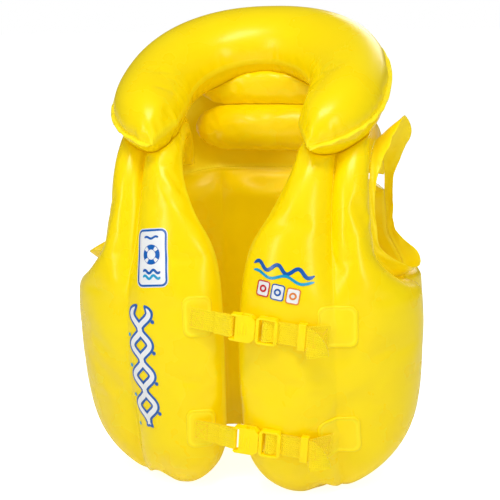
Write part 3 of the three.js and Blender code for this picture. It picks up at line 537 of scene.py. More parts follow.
def tree_of(piece: bpy.types.Object) -> BVHTree:
    """A search tree over a piece, in the pattern's millimetres."""
    points = read_points(piece)
    return BVHTree.FromPolygons([Vector(p) for p in points], [tuple(f.vertices) for f in piece.data.polygons])


def outward_faces(piece: bpy.types.Object) -> None:
    """Turns every face of a closed piece outwards."""
    bm = bmesh.new()
    bm.from_mesh(piece.data)
    bmesh.ops.recalc_face_normals(bm, faces=bm.faces)
    bm.to_mesh(piece.data)
    bm.free()
    piece.data.shade_smooth()


def apply_modifiers(piece: bpy.types.Object) -> None:
    """Puts the modifiers' result in the mesh and removes them."""
    bpy.context.view_layer.update()
    evaluated = piece.evaluated_get(bpy.context.evaluated_depsgraph_get())
    mesh = bpy.data.meshes.new_from_object(evaluated)
    mesh.name = piece.name
    piece.modifiers.clear()
    piece.data = mesh


def refine(piece: bpy.types.Object, levels: int = 1) -> None:
    """Adds a live subdivision, the same on screen and in the render."""
    modifier = piece.modifiers.new("round", "SUBSURF")
    modifier.levels = modifier.render_levels = levels


def settle(piece: bpy.types.Object, body: str, slot: Slot, *nodes: str) -> bpy.types.Object:
    """Gives a finished piece its body and hides the solids it stands for.

    Args:
        piece: The finished piece.
        body: The body that it rides on.
        slot: Not used.
        nodes: The CAD solids it replaces.

    Returns:
        The piece.
    """
    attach(piece, body)
    if nodes:
        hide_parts(*nodes)
    log.info("%s: %d faces on %s", piece.name, len(piece.data.polygons), body)
    return piece


def grid_faces(
    rows: int, columns: int, start: int = 0, closed: bool = False, flip: bool = False
) -> list[tuple[int, ...]]:
    """Quads of a grid of vertices; closed joins its last column to its first."""
    faces = []
    for r in range(rows - 1):
        for c in range(columns if closed else columns - 1):
            d = (c + 1) % columns
            quad = (
                start + r * columns + c, start + r * columns + d, start + (r + 1) * columns + d,
                start + (r + 1) * columns + c,
            )
            faces.append(quad[::-1] if flip else quad)
    return faces


def shell_faces(rows: int, columns: int) -> tuple[list[tuple[int, ...]], list[int]]:
    """Two grids joined all round their edge.

    Returns:
        The faces, and the vertices on the welded edge.
    """
    faces = grid_faces(rows, columns) + grid_faces(rows, columns, rows * columns, flip=True)
    ring = [(0, c) for c in range(columns)] + [(r, columns - 1) for r in range(1, rows)]
    ring += [(rows - 1, c) for c in range(columns - 2, -1, -1)] + [(r, 0) for r in range(rows - 2, 0, -1)]
    front = [r * columns + c for r, c in ring]
    back = [i + rows * columns for i in front]
    for k, (a, b) in enumerate(zip(front, back)):
        n = (k + 1) % len(ring)
        faces.append((a, b, back[n], front[n]))
    return faces, front + back


# ---------------------------------------------------------------- pattern of the trunk
TAPER = through((0, 0.77), (60, 0.92), (150, 1), (230, 0.985), (350, 0.985))
FRONT_TAPER = through((0, 0.86), (50, 0.97), (150, 1.02), (230, 0.92), (350, 0.92))
BACK_TAPER = through((0, 0.93), (100, 1.01), (230, 0.96), (350, 0.96))


@dataclass(frozen=True)
class Trunk:
    """The middle surface of the front and back, as a plan that rises and turns over the shoulder."""

    half_width: float = 147.0
    height: float = 230.0
    rise: float = 108.0
    front_depth: float = 90.0
    back_depth: float = 84.0
    power: float = 2.3
    radius: float = 113.0
    over: float = math.radians(145)
    neck: float = 57.0
    armpit: float = 183.0
    arm_edge: float = 121.0
    arm_curve: Curve = through((183, 0), (203, 0.45), (228, 0.88), (258, 1), (516, 1))

    @property
    def front_end(self) -> float:
        """Length of a front strip from the floor to its end behind the shoulder."""
        return self.height + self.radius * self.over

    @property
    def back_end(self) -> float:
        """Length of the back from the floor to its top edge."""
        return self.height + self.radius * (math.pi - self.over) - 8

    def level(self, run: np.ndarray) -> np.ndarray:
        """The height that sets the plan at a place along the strip."""
        return np.minimum(run, self.height)

    def angle(self, x: np.ndarray, z: np.ndarray) -> np.ndarray:
        """The plan's angle where its half-width is x."""
        return np.arcsin(np.minimum(1, x / (self.half_width * TAPER(z))) ** (self.power / 2))

    def point(self, run: np.ndarray, angle: np.ndarray, facing: int) -> np.ndarray:
        """Points of the surface; facing is -1 in front and +1 behind."""
        level = self.level(run)
        x = self.half_width * TAPER(level) * np.sin(np.maximum(0, angle)) ** (2 / self.power)
        over = np.maximum(0, run - self.height) / self.radius
        front = (np.cos(over) > 0) if facing < 0 else (np.cos(over) <= 0)
        share = np.maximum(0, np.cos(angle)) ** (2 / self.power)
        full = np.where(front, self.front_depth * FRONT_TAPER(level), self.back_depth * BACK_TAPER(level))
        depth = full * share
        ridge = self.height + self.rise - 0.2 * np.maximum(0, x - self.neck)
        y = facing * (FILM / 2 + CLEARANCE / 2 + depth) * np.cos(over)
        return np.stack([x, y, level + (ridge - self.height) * np.sin(over)], axis=-1)

    def normal(self, run: np.ndarray, angle: np.ndarray, facing: int) -> np.ndarray:
        """The surface's outward directions."""
        step = 0.01
        safe = np.clip(angle, 2 * step, math.pi / 2 - 2 * step)
        along = self.point(run + 1, safe, facing) - self.point(run - 1, safe, facing)
        across = self.point(run, safe + step, facing) - self.point(run, safe - step, facing)
        return unit(np.cross(across, along) * -facing)

    def outer_angle(self, run: np.ndarray) -> np.ndarray:
        """The angle of a panel's outer edge: the side seam, then the armhole."""
        level = self.level(run)
        x = mix(self.half_width * TAPER(level), self.arm_edge, self.arm_curve(run))
        return np.where(run <= self.armpit, math.pi / 2, self.angle(x, level))


TRUNK = Trunk()


# ---------------------------------------------------------------- inflation
@dataclass(frozen=True)
class Inflation:
    """How a chamber is blown up, and how far its film may move from its pattern."""

    pressure: float = 3.5
    slack: float = -0.014  # film between the welds is this much longer than they are
    steps: int = 16
    outward: float = 1.6  # millimetres
    inward: float = 2.6
    stiffness: float = 12.0
    bending: float = 0.4

    def run(self, piece: bpy.types.Object, hold: np.ndarray) -> None:
        """Blows the piece up with its welds held, and leaves the result in its mesh.

        Args:
            piece: A closed chamber.
            hold: How firmly each vertex is held, 0 to 1.
        """
        start = read_points(piece)
        group = piece.vertex_groups.new(name="weld")
        for index, weight in enumerate(hold):
            if weight > 0:
                group.add([index], float(weight), "REPLACE")
        cloth = piece.modifiers.new("inflate", "CLOTH")
        settings = cloth.settings
        settings.quality = 5
        settings.mass = 0.15
        settings.air_damping = 3.0
        settings.tension_stiffness = settings.compression_stiffness = self.stiffness
        settings.shear_stiffness = self.stiffness / 2
        settings.bending_stiffness = self.bending
        settings.use_pressure = True
        settings.uniform_pressure_force = self.pressure
        settings.shrink_min = self.slack
        settings.vertex_group_mass = "weld"
        settings.effector_weights.gravity = 0.0
        cloth.collision_settings.use_collision = False
        scene = bpy.context.scene
        for step in range(1, self.steps + 1):
            scene.frame_set(step)
        evaluated = piece.evaluated_get(bpy.context.evaluated_depsgraph_get())
        flat = np.empty(len(start) * 3)
        evaluated.data.vertices.foreach_get("co", flat)
        moved = flat.reshape(-1, 3) / MM - SHIFT - start
        piece.modifiers.clear()
        piece.vertex_groups.clear()
        scene.frame_set(1)
        normals = np.empty(len(start) * 3)
        piece.data.vertices.foreach_get("normal", normals)
        normals = normals.reshape(-1, 3)
        lift = np.sum(moved * normals, axis=1)
        span = np.std(lift)
        middle = np.median(lift[hold < 0.2]) if np.any(hold < 0.2) else 0.0
        loose = 1 - hold
        height = np.clip((lift - middle * loose), -self.inward, self.outward) * loose
        write_points(piece, start + normals * height[:, None])
        log.info("%s: film moved %.1f mm, median %.1f", piece.name, span, middle)


def press(points: np.ndarray, tree: BVHTree, gap: float, direction: Vector | None = None) -> np.ndarray:
    """Moves points out of a neighbour that they have sunk into.

    Args:
        points: Millimetres.
        tree: The neighbour.
        gap: Air left between the two.
        direction: The way that they leave; the nearest face if it isn't given.

    Returns:
        The points, clear of the neighbour.
    """
    out = points.copy()
    for k, p in enumerate(points):
        here = Vector(p)
        spot, normal, _, _ = tree.find_nearest(here, 60.0)
        if spot is None or (here - spot).dot(normal) > gap:
            continue
        if direction is not None and (here - spot).dot(normal) < 0:
            hit, _, _, _ = tree.ray_cast(here, direction, 120.0)
            if hit is not None:
                out[k] = hit + direction * gap
                continue
        out[k] = spot + normal * gap
    return out


def is_inside(tree: BVHTree, point: Vector) -> bool:
    """Whether a point is inside a closed piece.

    Args:
        tree: The piece.
        point: Millimetres.

    Returns:
        True where a line from the point crosses the piece's faces an odd number of times.
    """
    direction = Vector((0.31, 0.17, 0.93)).normalized()
    crossings = 0
    hit, _, _, _ = tree.ray_cast(point, direction)
    while hit is not None:
        crossings += 1
        hit, _, _, _ = tree.ray_cast(hit + direction * 0.01, direction)
    return crossings % 2 == 1


def rest_on_floor(points: np.ndarray) -> np.ndarray:
    """Presses what would sink into the floor flat against it."""
    out = points.copy()
    low = out[:, 2] < 3
    out[low, 2] = 3 * np.exp((out[low, 2] - 3) / 3) + 0.05
    return out


def mark_welds(piece: bpy.types.Object, seam: np.ndarray, width: float = 6.0) -> None:
    """Writes how near each vertex is to a weld, 1 on it and 0 at the width, as the weld attribute."""
    points = read_points(piece)
    tree = KDTree(len(seam))
    for k, p in enumerate(seam):
        tree.insert(p, k)
    tree.balance()
    near = [max(0.0, 1 - tree.find(p)[2] / width) for p in points]
    attribute = piece.data.attributes.new("weld", "FLOAT", "POINT")
    attribute.data.foreach_set("value", np.array(near, np.float32))


def puckers(
    points: np.ndarray, normals: np.ndarray, seam: np.ndarray, depth: float, reach: float,
    pitch: float, seed: float,
) -> np.ndarray:
    """Short folds that stand square to a weld and die away from it.

    Args:
        points: Millimetres.
        normals: Their outward directions.
        seam: Points along the weld, in order.
        depth: Depth of the deepest fold.
        reach: How far from the weld the folds go.
        pitch: Distance between folds.
        seed: Shifts the pattern.

    Returns:
        The points, folded.
    """
    lengths = np.concatenate([[0], np.cumsum(np.linalg.norm(np.diff(seam, axis=0), axis=1))])
    tree = KDTree(len(seam))
    for k, p in enumerate(seam):
        tree.insert(p, k)
    tree.balance()
    out = points.copy()
    for k, p in enumerate(points):
        _, nearest, distance = tree.find(p)
        if distance > reach * 1.8 or distance < 0.2:
            continue
        along = lengths[nearest]
        sway = noise.noise(Vector((along / (pitch * 2.3), seed, 0.0))) * 2.2
        size = max(0.0, 0.55 + noise.noise(Vector((along / (pitch * 3.1), seed + 9.0, 4.0))) * 1.3)
        wave = math.sin(2 * math.pi * along / pitch + 2 * math.pi * sway)
        fade = math.exp(-((distance / reach) ** 2)) * min(1.0, distance / 2.5)
        out[k] += normals[k] * (depth * size * wave * fade)
    return out


# ---------------------------------------------------------------- chambers
@dataclass
class Panel:
    """A chamber of two films on the trunk: shared making of the front and back ones."""

    name: str
    palette: Palette
    inflation: Inflation = Inflation()
    columns: int = 15

    def surface(self, run: np.ndarray, share: np.ndarray, face: Face, grow: float = 0.0) -> np.ndarray:
        """Points of a film at places along and across the panel."""
        raise NotImplementedError

    def runs(self) -> np.ndarray:
        """Places along the panel."""
        raise NotImplementedError

    def edges(self, run: float) -> list[float]:
        """The panel's edges and creases, as shares across it."""
        raise NotImplementedError

    def grid(self, face: Face, grow: float = 0.0) -> np.ndarray:
        """A film's grid of points, rows by columns."""
        runs = self.runs()
        shares = np.stack([spread(self.edges(run), self.columns) for run in runs])
        return self.surface(np.repeat(runs[:, None], shares.shape[1], 1), shares, face, grow)

    def calm(self, points: np.ndarray) -> np.ndarray:
        """How firmly each point is kept still, beyond the welds."""
        return np.zeros(len(points))

    def build(self, neighbours: Sequence[tuple[BVHTree, Vector | None]], seed: float) -> bpy.types.Object:
        """Makes the panel, blows it up and presses it against its neighbours.

        Args:
            neighbours: Trees of the pieces it touches, each with the way out of it.
            seed: Shifts the folds along its welds.

        Returns:
            The panel.
        """
        outer, inner = self.grid(Face.OUT), self.grid(Face.IN)
        rows, columns = outer.shape[:2]
        points = np.concatenate([outer.reshape(-1, 3), inner.reshape(-1, 3)])
        faces, seam = shell_faces(rows, columns)
        piece = make_piece(self.name, points, faces, self.palette.film)
        outward_faces(piece)
        hold = self.calm(points)
        hold[seam] = 1.0
        self.inflation.run(piece, hold)
        points = read_points(piece)
        normals = np.empty(len(points) * 3)
        piece.data.vertices.foreach_get("normal", normals)
        line = points[seam[: len(seam) // 2]]
        folded = puckers(points, normals.reshape(-1, 3), line, 0.8, 11.0, 15.0, seed)
        points = mix(folded, points, np.minimum(1, hold)[:, None])
        for tree, direction in neighbours:
            points = press(points, tree, 0.6, direction)
        write_points(piece, rest_on_floor(points))
        mark_welds(piece, line)
        refine(piece)
        apply_modifiers(piece)
        return piece


@dataclass
class FrontPanel(Panel):
    """A front chamber, from the floor over the shoulder; left is the wearer's."""

    left: bool = True
    gap: float = 20.0
    crease_x: float = 89.0
    swell: dict[Face, float] = field(default_factory=lambda: {Face.OUT: 32.0, Face.IN: 20.0})
    shoulder: dict[Face, float] = field(default_factory=lambda: {Face.OUT: 18.0, Face.IN: 15.0})
    hem_round: float = 50.0
    yoke_round: float = 34.0
    corner: float = 64.0
    notch: float = 15.0
    hem_side: float = 66.0
    foot: float = 4.0

    def __post_init__(self) -> None:
        """Lays out the curves of the neck edge and the crease's depth."""
        half = self.gap / 2
        self.neck_line = through(
            (0, half), (205, half), (240, half + 8), (275, 37), (310, 50), (350, 57), (TRUNK.front_end, 77)
        )
        self.pinch = through(
            (0, 0.6), (60, 0.7), (120, 0.42), (190, 0.5), (250, 0.9), (360, 0.95), (TRUNK.front_end, 0.5)
        )

    def inner(self, run: np.ndarray) -> np.ndarray:
        """Half-width of the neck edge and front gap."""
        turn = np.maximum(0, 1 - run / self.corner)
        return self.neck_line(run) + self.corner * (1 - np.sqrt(1 - turn**2))

    def crease(self, run: np.ndarray) -> np.ndarray:
        """Where the crease stands, as a share across."""
        level = TRUNK.level(run)
        inner = TRUNK.angle(self.inner(run), level)
        return (TRUNK.angle(self.crease_x, level) - inner) / (TRUNK.outer_angle(run) - inner)

    def middle(self, run: np.ndarray, share: np.ndarray) -> tuple[np.ndarray, np.ndarray]:
        """Points and outward directions of the middle surface."""
        crease = self.crease(np.zeros_like(run))
        foot = self.notch * np.exp(-(((share - crease) / 0.12) ** 2))
        hem = foot + self.hem_side * np.maximum(0, (share - crease) / (1 - crease)) ** 2 - self.foot
        level = run + hem * np.maximum(0, 1 - run / TRUNK.height)
        angle = mix(TRUNK.angle(self.inner(run), TRUNK.level(run)), TRUNK.outer_angle(run), share)
        return TRUNK.point(level, angle, -1), TRUNK.normal(level, angle, -1)

    def surface(self, run: np.ndarray, share: np.ndarray, face: Face, grow: float = 0.0) -> np.ndarray:
        """Points of a film; the wearer's right is mirrored."""
        ends = rounded_end(run, self.hem_round) * rounded_end(TRUNK.front_end - run, self.yoke_round)
        swell = ends * lobes(share, [self.crease(run)], self.pinch(run))
        bulge = mix(self.swell[face], self.shoulder[face], smooth(run, TRUNK.height - 40, TRUNK.height + 55))
        middle, normal = self.middle(run, share)
        points = middle + normal * (face.value * (FILM / 2 + grow + bulge * swell))[..., None]
        return points if self.left else points * [-1, 1, 1]

    def runs(self) -> np.ndarray:
        """Places along the strip."""
        return stations(0, TRUNK.front_end, self.hem_round, self.yoke_round, 11, 5.2)

    def edges(self, run: float) -> list[float]:
        """Neck edge, crease and outer edge."""
        return [0.0, float(self.crease(np.array(run))), 1.0]

    def calm(self, points: np.ndarray) -> np.ndarray:
        """The film lies still under the straps, their patches and the prints."""
        x, z = np.abs(points[:, 0]), points[:, 2]
        straps = np.maximum(np.exp(-(((z - 168) / 26) ** 4)), np.exp(-(((z - 62) / 26) ** 4)))
        front = points[:, 1] < -60
        span, middle, rise = ((68, 208, 46) if self.left else (40, 158, 116))
        centre = 50 if self.left else 78
        prints = np.exp(-(((x - centre) / (span / 2 + 8)) ** 6)) * np.exp(-(((z - middle) / rise) ** 6))
        return np.where(front & (x < 126), np.maximum(0.92 * straps, 0.8 * prints), 0.0)


@dataclass
class BackPanel(Panel):
    """The back chamber, with three lobes."""

    swell: dict[Face, float] = field(default_factory=lambda: {Face.OUT: 30.0, Face.IN: 20.0})
    crease_x: float = 52.0
    corner: float = 40.0
    yoke_round: float = 34.0
    arch: float = 14.0
    hem_side: float = 66.0
    foot: float = 4.0

    def __post_init__(self) -> None:
        """Lays out the creases' depth."""
        self.pinch = through((0, 0.9), (70, 0.45), (180, 0.35), (TRUNK.back_end, 0.8))

    def creases(self, run: np.ndarray) -> list[np.ndarray]:
        """Where the two creases stand."""
        share = TRUNK.angle(self.crease_x, TRUNK.level(run)) / TRUNK.outer_angle(run) / 2
        return [0.5 - share, 0.5 + share]

    def middle(self, run: np.ndarray, share: np.ndarray) -> tuple[np.ndarray, np.ndarray]:
        """Points and outward directions of the middle surface."""
        across = 2 * share - 1
        angle = TRUNK.outer_angle(run) * np.abs(across)
        lift = self.hem_side * smooth(np.abs(across), 0.55, 1) - self.foot
        drop = self.arch * across**2 * smooth(run, TRUNK.height - 40, TRUNK.back_end)
        level = run + lift * np.maximum(0, 1 - run / TRUNK.height) - drop
        side = np.stack(
            [np.where(across > 0, -1.0, 1.0), np.ones_like(across), np.ones_like(across)], axis=-1
        )
        return TRUNK.point(level, angle, 1) * side, TRUNK.normal(level, angle, 1) * side

    def surface(self, run: np.ndarray, share: np.ndarray, face: Face, grow: float = 0.0) -> np.ndarray:
        """Points of a film."""
        ends = rounded_end(run, self.corner) * rounded_end(TRUNK.back_end - run, self.yoke_round)
        swell = ends * lobes(share, self.creases(run), self.pinch(run))
        middle, normal = self.middle(run, share)
        return middle + normal * (face.value * (FILM / 2 + grow + self.swell[face] * swell))[..., None]

    def runs(self) -> np.ndarray:
        """Places up the back."""
        return stations(0, TRUNK.back_end, self.corner, self.yoke_round, 9, 5.5)

    def edges(self, run: float) -> list[float]:
        """Side seams and creases."""
        low, high = self.creases(np.array(run))
        return [0.0, float(low), float(high), 1.0]


@dataclass
class Collar:
    """The horseshoe collar, tilted up at the back, with a welded rim round its outer edge."""

    palette: Palette
    outer_half_width: float = 129.0
    back: float = 138.0
    front: float = 88.0
    hole_back: float = 60.0
    half_thickness: float = 33.0
    tilt: float = math.radians(25)
    tip: float = 36.0
    fullness: float = 8.0
    height: float = 368.0
    forward: float = -2.0
    rim: float = 4.5
    reach: float = math.radians(150)
    rings: int = 132
    sides: int = 44

    @property
    def down(self) -> Vector:
        """The way out of its underside."""
        return Vector((0.0, math.sin(self.tilt), -math.cos(self.tilt)))

    def to_vest(self, x: np.ndarray, back: np.ndarray, up: np.ndarray) -> np.ndarray:
        """Points from the collar's own tilted plane."""
        sine, cosine = math.sin(self.tilt), math.cos(self.tilt)
        y = self.forward + back * cosine - up * sine
        return np.stack(np.broadcast_arrays(x, y, self.height + back * sine + up * cosine), axis=-1)

    @staticmethod
    def squared(value: float) -> float:
        """A sine or cosine made fuller, so that the outline is squarer than an ellipse."""
        return math.copysign(abs(value) ** 0.86, value)

    def section(self, turn: float) -> tuple[np.ndarray, np.ndarray, float]:
        """The collar's section at one place round it.

        Args:
            turn: The place, from -1 at one end to 1 at the other.

        Returns:
            The section's middle, its half-width as a vector and its half-height.
        """
        angle = turn * self.reach
        front_axis = -self.front / self.squared(math.cos(self.reach))
        beyond = max(0.0, abs(angle) - math.pi / 2) / (self.reach - math.pi / 2)
        axis = self.back if math.cos(angle) > 0 else front_axis
        outer = np.array(
            [self.outer_half_width * self.squared(math.sin(angle)), axis * self.squared(math.cos(angle))]
        )
        hole = math.sin(math.copysign(min(abs(angle), math.pi / 2), angle))
        inner_back = -(self.front - self.tip) * beyond if beyond > 0 else self.hole_back * math.cos(angle)
        inner = np.array([self.neck_half * hole, inner_back])
        height = self.half_thickness * math.sqrt(max(0.0, 1 - abs(turn) ** self.fullness))
        return (outer + inner) / 2, (outer - inner) / 2, height

    @property
    def neck_half(self) -> float:
        """Half-width of the neck opening."""
        return TRUNK.neck

    def turns(self) -> np.ndarray:
        """Places round the collar, closer together at its ends."""
        even = np.linspace(-1, 1, self.rings)
        eased = -np.sin(np.pi / 2 * -even)
        return mix(even, eased, 0.6) * 0.998

    def build(self, inflation: Inflation) -> bpy.types.Object:
        """Makes the collar and blows it up."""
        rows = []
        around = 2 * np.pi * np.arange(self.sides) / self.sides
        for turn in self.turns():
            centre, reach, height = self.section(float(turn))
            out, up = np.cos(around), (height + FILM / 2) * np.sin(around)
            rows.append(self.to_vest(centre[0] + reach[0] * out, centre[1] + reach[1] * out, up))
        points = np.concatenate(rows)
        faces = grid_faces(self.rings, self.sides, closed=True)
        half = self.sides // 2
        for start, flip in ((0, False), ((self.rings - 1) * self.sides, True)):
            for k in range(half):
                quad = [
                    start + k, start + k + 1, start + (self.sides - k - 1) % self.sides,
                    start + (self.sides - k) % self.sides,
                ]
                quad = list(dict.fromkeys(quad))
                if len(quad) > 2:
                    faces.append(tuple(quad[::-1] if flip else quad))
        piece = make_piece("collar_cushion", points, faces, self.palette.film)
        outward_faces(piece)
        grid = np.arange(self.rings * self.sides).reshape(self.rings, self.sides)
        hold = np.zeros(len(points))
        for line in (grid[:, 0], grid[:, half], grid[0], grid[-1]):
            hold[line] = 1.0
        inflation.run(piece, hold)
        points = read_points(piece)
        normals = np.empty(len(points) * 3)
        piece.data.vertices.foreach_get("normal", normals)
        self.seam = np.concatenate(
            [points[grid[0, half:0:-1]], points[grid[:, 0]], points[grid[-1, 1 : half + 1]]]
        )
        hole = points[grid[:, half]]
        normals = normals.reshape(-1, 3)
        points = puckers(points, normals, points[grid[:, 0]], 1.2, 11.0, 17.0, 3.0)
        points = puckers(points, normals, hole, 1.0, 9.0, 12.0, 7.0)
        write_points(piece, points)
        mark_welds(piece, np.concatenate([self.seam, hole]))
        refine(piece)
        apply_modifiers(piece)
        return piece

    def build_rim(self) -> bpy.types.Object:
        """The flat weld that stands out round the outer edge, slightly wavy."""
        columns = 5
        rows = []
        turns = np.linspace(-0.992, 0.992, 260)
        for turn in turns:
            centre, reach, _ = self.section(float(turn))
            length = float(np.linalg.norm(reach))
            across = np.linspace(-1.5, self.rim, columns) / length + 1
            along = float(turn) * 420
            phase = along / 4.2 + 2 * noise.noise(Vector((along / 30, 0, 0)))
            wave = 0.9 * math.sin(phase) * np.linspace(0, 1, columns) ** 1.5
            rows.append(self.to_vest(centre[0] + reach[0] * across, centre[1] + reach[1] * across, wave))
        grid = np.stack(rows)
        piece = make_piece(
            "collar_weld_rim", grid.reshape(-1, 3), grid_faces(len(rows), columns), self.palette.weld
        )
        mark_all(piece)
        thicken(piece, 0.9)
        return piece


def mark_all(piece: bpy.types.Object, value: float = 1.0) -> None:
    """Writes one weld value all over a piece."""
    attribute = piece.data.attributes.new("weld", "FLOAT", "POINT")
    attribute.data.foreach_set("value", np.full(len(piece.data.vertices), value, np.float32))


def thicken(piece: bpy.types.Object, thickness: float) -> None:
    """Gives a sheet its thickness, half to each side."""
    solid = piece.modifiers.new("film", "SOLIDIFY")
    solid.thickness = thickness * MM
    solid.offset = 0.0
    apply_modifiers(piece)
    outward_faces(piece)


@dataclass
class Roll:
    """A small cushion across the back of the neck."""

    name: str
    palette: Palette
    half_length: float
    half_height: float
    half_depth: float
    y: float
    z: float
    rings: int = 50
    sides: int = 40

    def build(
        self, inflation: Inflation, neighbours: Sequence[tuple[BVHTree, Vector | None]]
    ) -> bpy.types.Object:
        """Makes the roll, blows it up and presses it against its neighbours."""
        along = -np.cos(np.pi * (np.arange(self.rings) + 0.35) / (self.rings - 0.3))
        size = np.sqrt(np.maximum(0, 1 - along**4)) + 0.02
        around = 2 * np.pi * np.arange(self.sides) / self.sides
        x = np.broadcast_to((along * self.half_length)[:, None], (self.rings, self.sides))
        y = self.y + self.half_depth * size[:, None] * np.cos(around)
        z = self.z + self.half_height * size[:, None] * np.sin(around)
        points = np.stack([x, y, z], axis=-1).reshape(-1, 3)
        faces = grid_faces(self.rings, self.sides, closed=True)
        faces.append(tuple(range(self.sides))[::-1])
        faces.append(tuple(range((self.rings - 1) * self.sides, self.rings * self.sides)))
        piece = make_piece(self.name, points, faces, self.palette.film)
        outward_faces(piece)
        grid = np.arange(len(points)).reshape(self.rings, self.sides)
        hold = np.zeros(len(points))
        seams = [grid[:, self.sides // 4], grid[:, 3 * self.sides // 4], grid[0], grid[-1]]
        for line in seams:
            hold[line] = 1.0
        inflation.run(piece, hold)
        points = read_points(piece)
        normals = np.empty(len(points) * 3)
        piece.data.vertices.foreach_get("normal", normals)
        for k, line in enumerate(seams[:2]):
            points = puckers(points, normals.reshape(-1, 3), points[line], 0.9, 9.0, 11.0, 20.0 + k)
        for tree, direction in neighbours:
            points = press(points, tree, 0.6, direction)
        write_points(piece, points)
        mark_welds(piece, points[np.concatenate(seams)])
        refine(piece)
        apply_modifiers(piece)
        return piece


@dataclass
class NeckFilm:
    """The flat film behind the roll, from the back's top edge up under the collar."""

    palette: Palette
    foot: float = 0.38
    waist: tuple[float, float, float] = (98.0, 88.0, 306.0)
    top: tuple[float, float, float] = (104.0, 85.0, 378.0)

    def build(self, back: BackPanel, neighbours: Sequence[BVHTree]) -> bpy.types.Object:
        """Makes the film and trims it where it meets its neighbours."""
        rows, columns = 60, 90
        across = np.linspace(-1, 1, columns)
        start = back.middle(np.full(columns, TRUNK.back_end), 0.5 + self.foot * across)[0]
        bend, end = (
            np.stack([-p[0] * across, np.full(columns, p[1]), np.full(columns, p[2])], axis=-1)
            for p in (self.waist, self.top)
        )
        grid = []
        for t in np.linspace(0, 1, rows):
            row = (1 - t) ** 2 * start + 2 * t * (1 - t) * bend + t**2 * end
            ripple = [0.7 * noise.noise(Vector((p[0] / 16, p[2] / 28, 2.0))) for p in row]
            grid.append(row + np.stack([np.zeros(columns), ripple, np.zeros(columns)], axis=-1))
        points = np.stack(grid).reshape(-1, 3)
        sunk = {k for k, p in enumerate(points) if any(is_inside(tree, Vector(p)) for tree in neighbours)}
        faces = [f for f in grid_faces(rows, columns) if not all(i in sunk for i in f)]
        piece = make_piece("neck_film", points, faces, self.palette.weld)
        bm = bmesh.new()
        bm.from_mesh(piece.data)
        bmesh.ops.delete(bm, geom=[v for v in bm.verts if not v.link_faces], context="VERTS")
        bm.to_mesh(piece.data)
        bm.free()
        mark_welds(piece, start, 8.0)
        thicken(piece, 0.8)
        return piece


@dataclass
class ArmholeFlange:
    """The films' flat edge round an armhole, crinkled by the heat of its weld."""

    palette: Palette
    left: bool
    front: float = 10.0
    ridge: float = 37.0
    back: float = 9.0
    armpit: float = 20.0
    rise: float = 1.25
    crinkle: float = 2.4

    def edge(
        self, front: FrontPanel, back: BackPanel
    ) -> list[tuple[np.ndarray, np.ndarray, np.ndarray, float, float]]:
        """Points, outward directions, inner points, widths and rises round the armhole."""
        arm = TRUNK.armpit
        front_width = through(
            (arm, self.armpit), (arm + 40, self.front), (arm + 150, self.front),
            (TRUNK.height + TRUNK.radius * math.pi / 2, self.ridge), (TRUNK.front_end, self.back),
        )
        back_width = through((arm, self.armpit), (arm + 40, self.back), (TRUNK.back_end, self.back))
        rounds = []
        for run in np.linspace(arm + 6, TRUNK.front_end, 84):
            point, normal = front.middle(np.array(run), np.array(1.0))
            inside = front.middle(np.array(run), np.array(0.9))[0]
            rise = self.rise * math.sin(max(0.0, run - TRUNK.height) / TRUNK.radius) ** 2
            rounds.append((point, normal, inside, float(front_width(run)), rise))
        behind = []
        for run in np.linspace(arm + 6, TRUNK.back_end, 26):
            point, normal = back.middle(np.array(run), np.array(0.0))
            behind.append(
                (point, normal, back.middle(np.array(run), np.array(0.05))[0], float(back_width(run)), 0.0)
            )
        top = front.middle(np.array(arm - 2), np.array(1.0))[0] * [1, 0, 1]
        seam = (top, np.array([1.0, 0.0, 0.0]), top - [0, 0, 10], self.armpit, 0.0)
        return [seam, *rounds, *behind[::-1]]

    def build(self, front: FrontPanel, back: BackPanel) -> bpy.types.Object:
        """Makes the flange as a crinkled ring."""
        edge = self.edge(front, back)
        count, columns = len(edge), 8
        share = np.linspace(0, 1, columns)
        rows = []
        length = 0.0
        for k, (point, normal, inside, width, rise) in enumerate(edge):
            before, after = edge[k - 1][0], edge[(k + 1) % count][0]
            length += float(np.linalg.norm(point - before)) if k else 0.0
            along = unit(after - before)
            onward = unit(np.cross(normal, along))
            onward = onward if onward @ (point - inside) > 0 else -onward
            outward = onward * 0.45 + np.array([0.8, 0, rise])
            outward = unit(outward - along * (outward @ along))
            lift = unit(np.cross(along, outward))
            side = 0.0 if self.left else 40.0
            wide_fold = noise.noise(Vector((length / 13, side, 0))) * 1.5
            fold = wide_fold + noise.noise(Vector((length / 6, side, 7))) * 0.7
            trim = 1 + 0.16 * noise.noise(Vector((length / 17, side, 3)))
            root = point + onward * (CLEARANCE + FILM * 0.4)
            bend = self.crinkle * min(1.0, width / 14) * fold * share**1.4
            crease = 0.5 * np.sin(share * 9 + length / 5) * share
            rows.append(root + outward * (width * trim * share)[:, None] + lift * (bend + crease)[:, None])
        points = np.stack(rows).reshape(-1, 3)
        if not self.left:
            points = points * [-1, 1, 1]
        faces = grid_faces(count, columns)
        last = (count - 1) * columns
        faces += [(last + c, last + c + 1, c + 1, c) for c in range(columns - 1)]
        piece = make_piece(
            f"armhole_band_{'left' if self.left else 'right'}", points, faces, self.palette.weld
        )
        mark_welds(piece, points.reshape(count, columns, 3)[:, 0], 7.0)
        thicken(piece, 0.8)
        refine(piece)
        apply_modifiers(piece)
        return piece


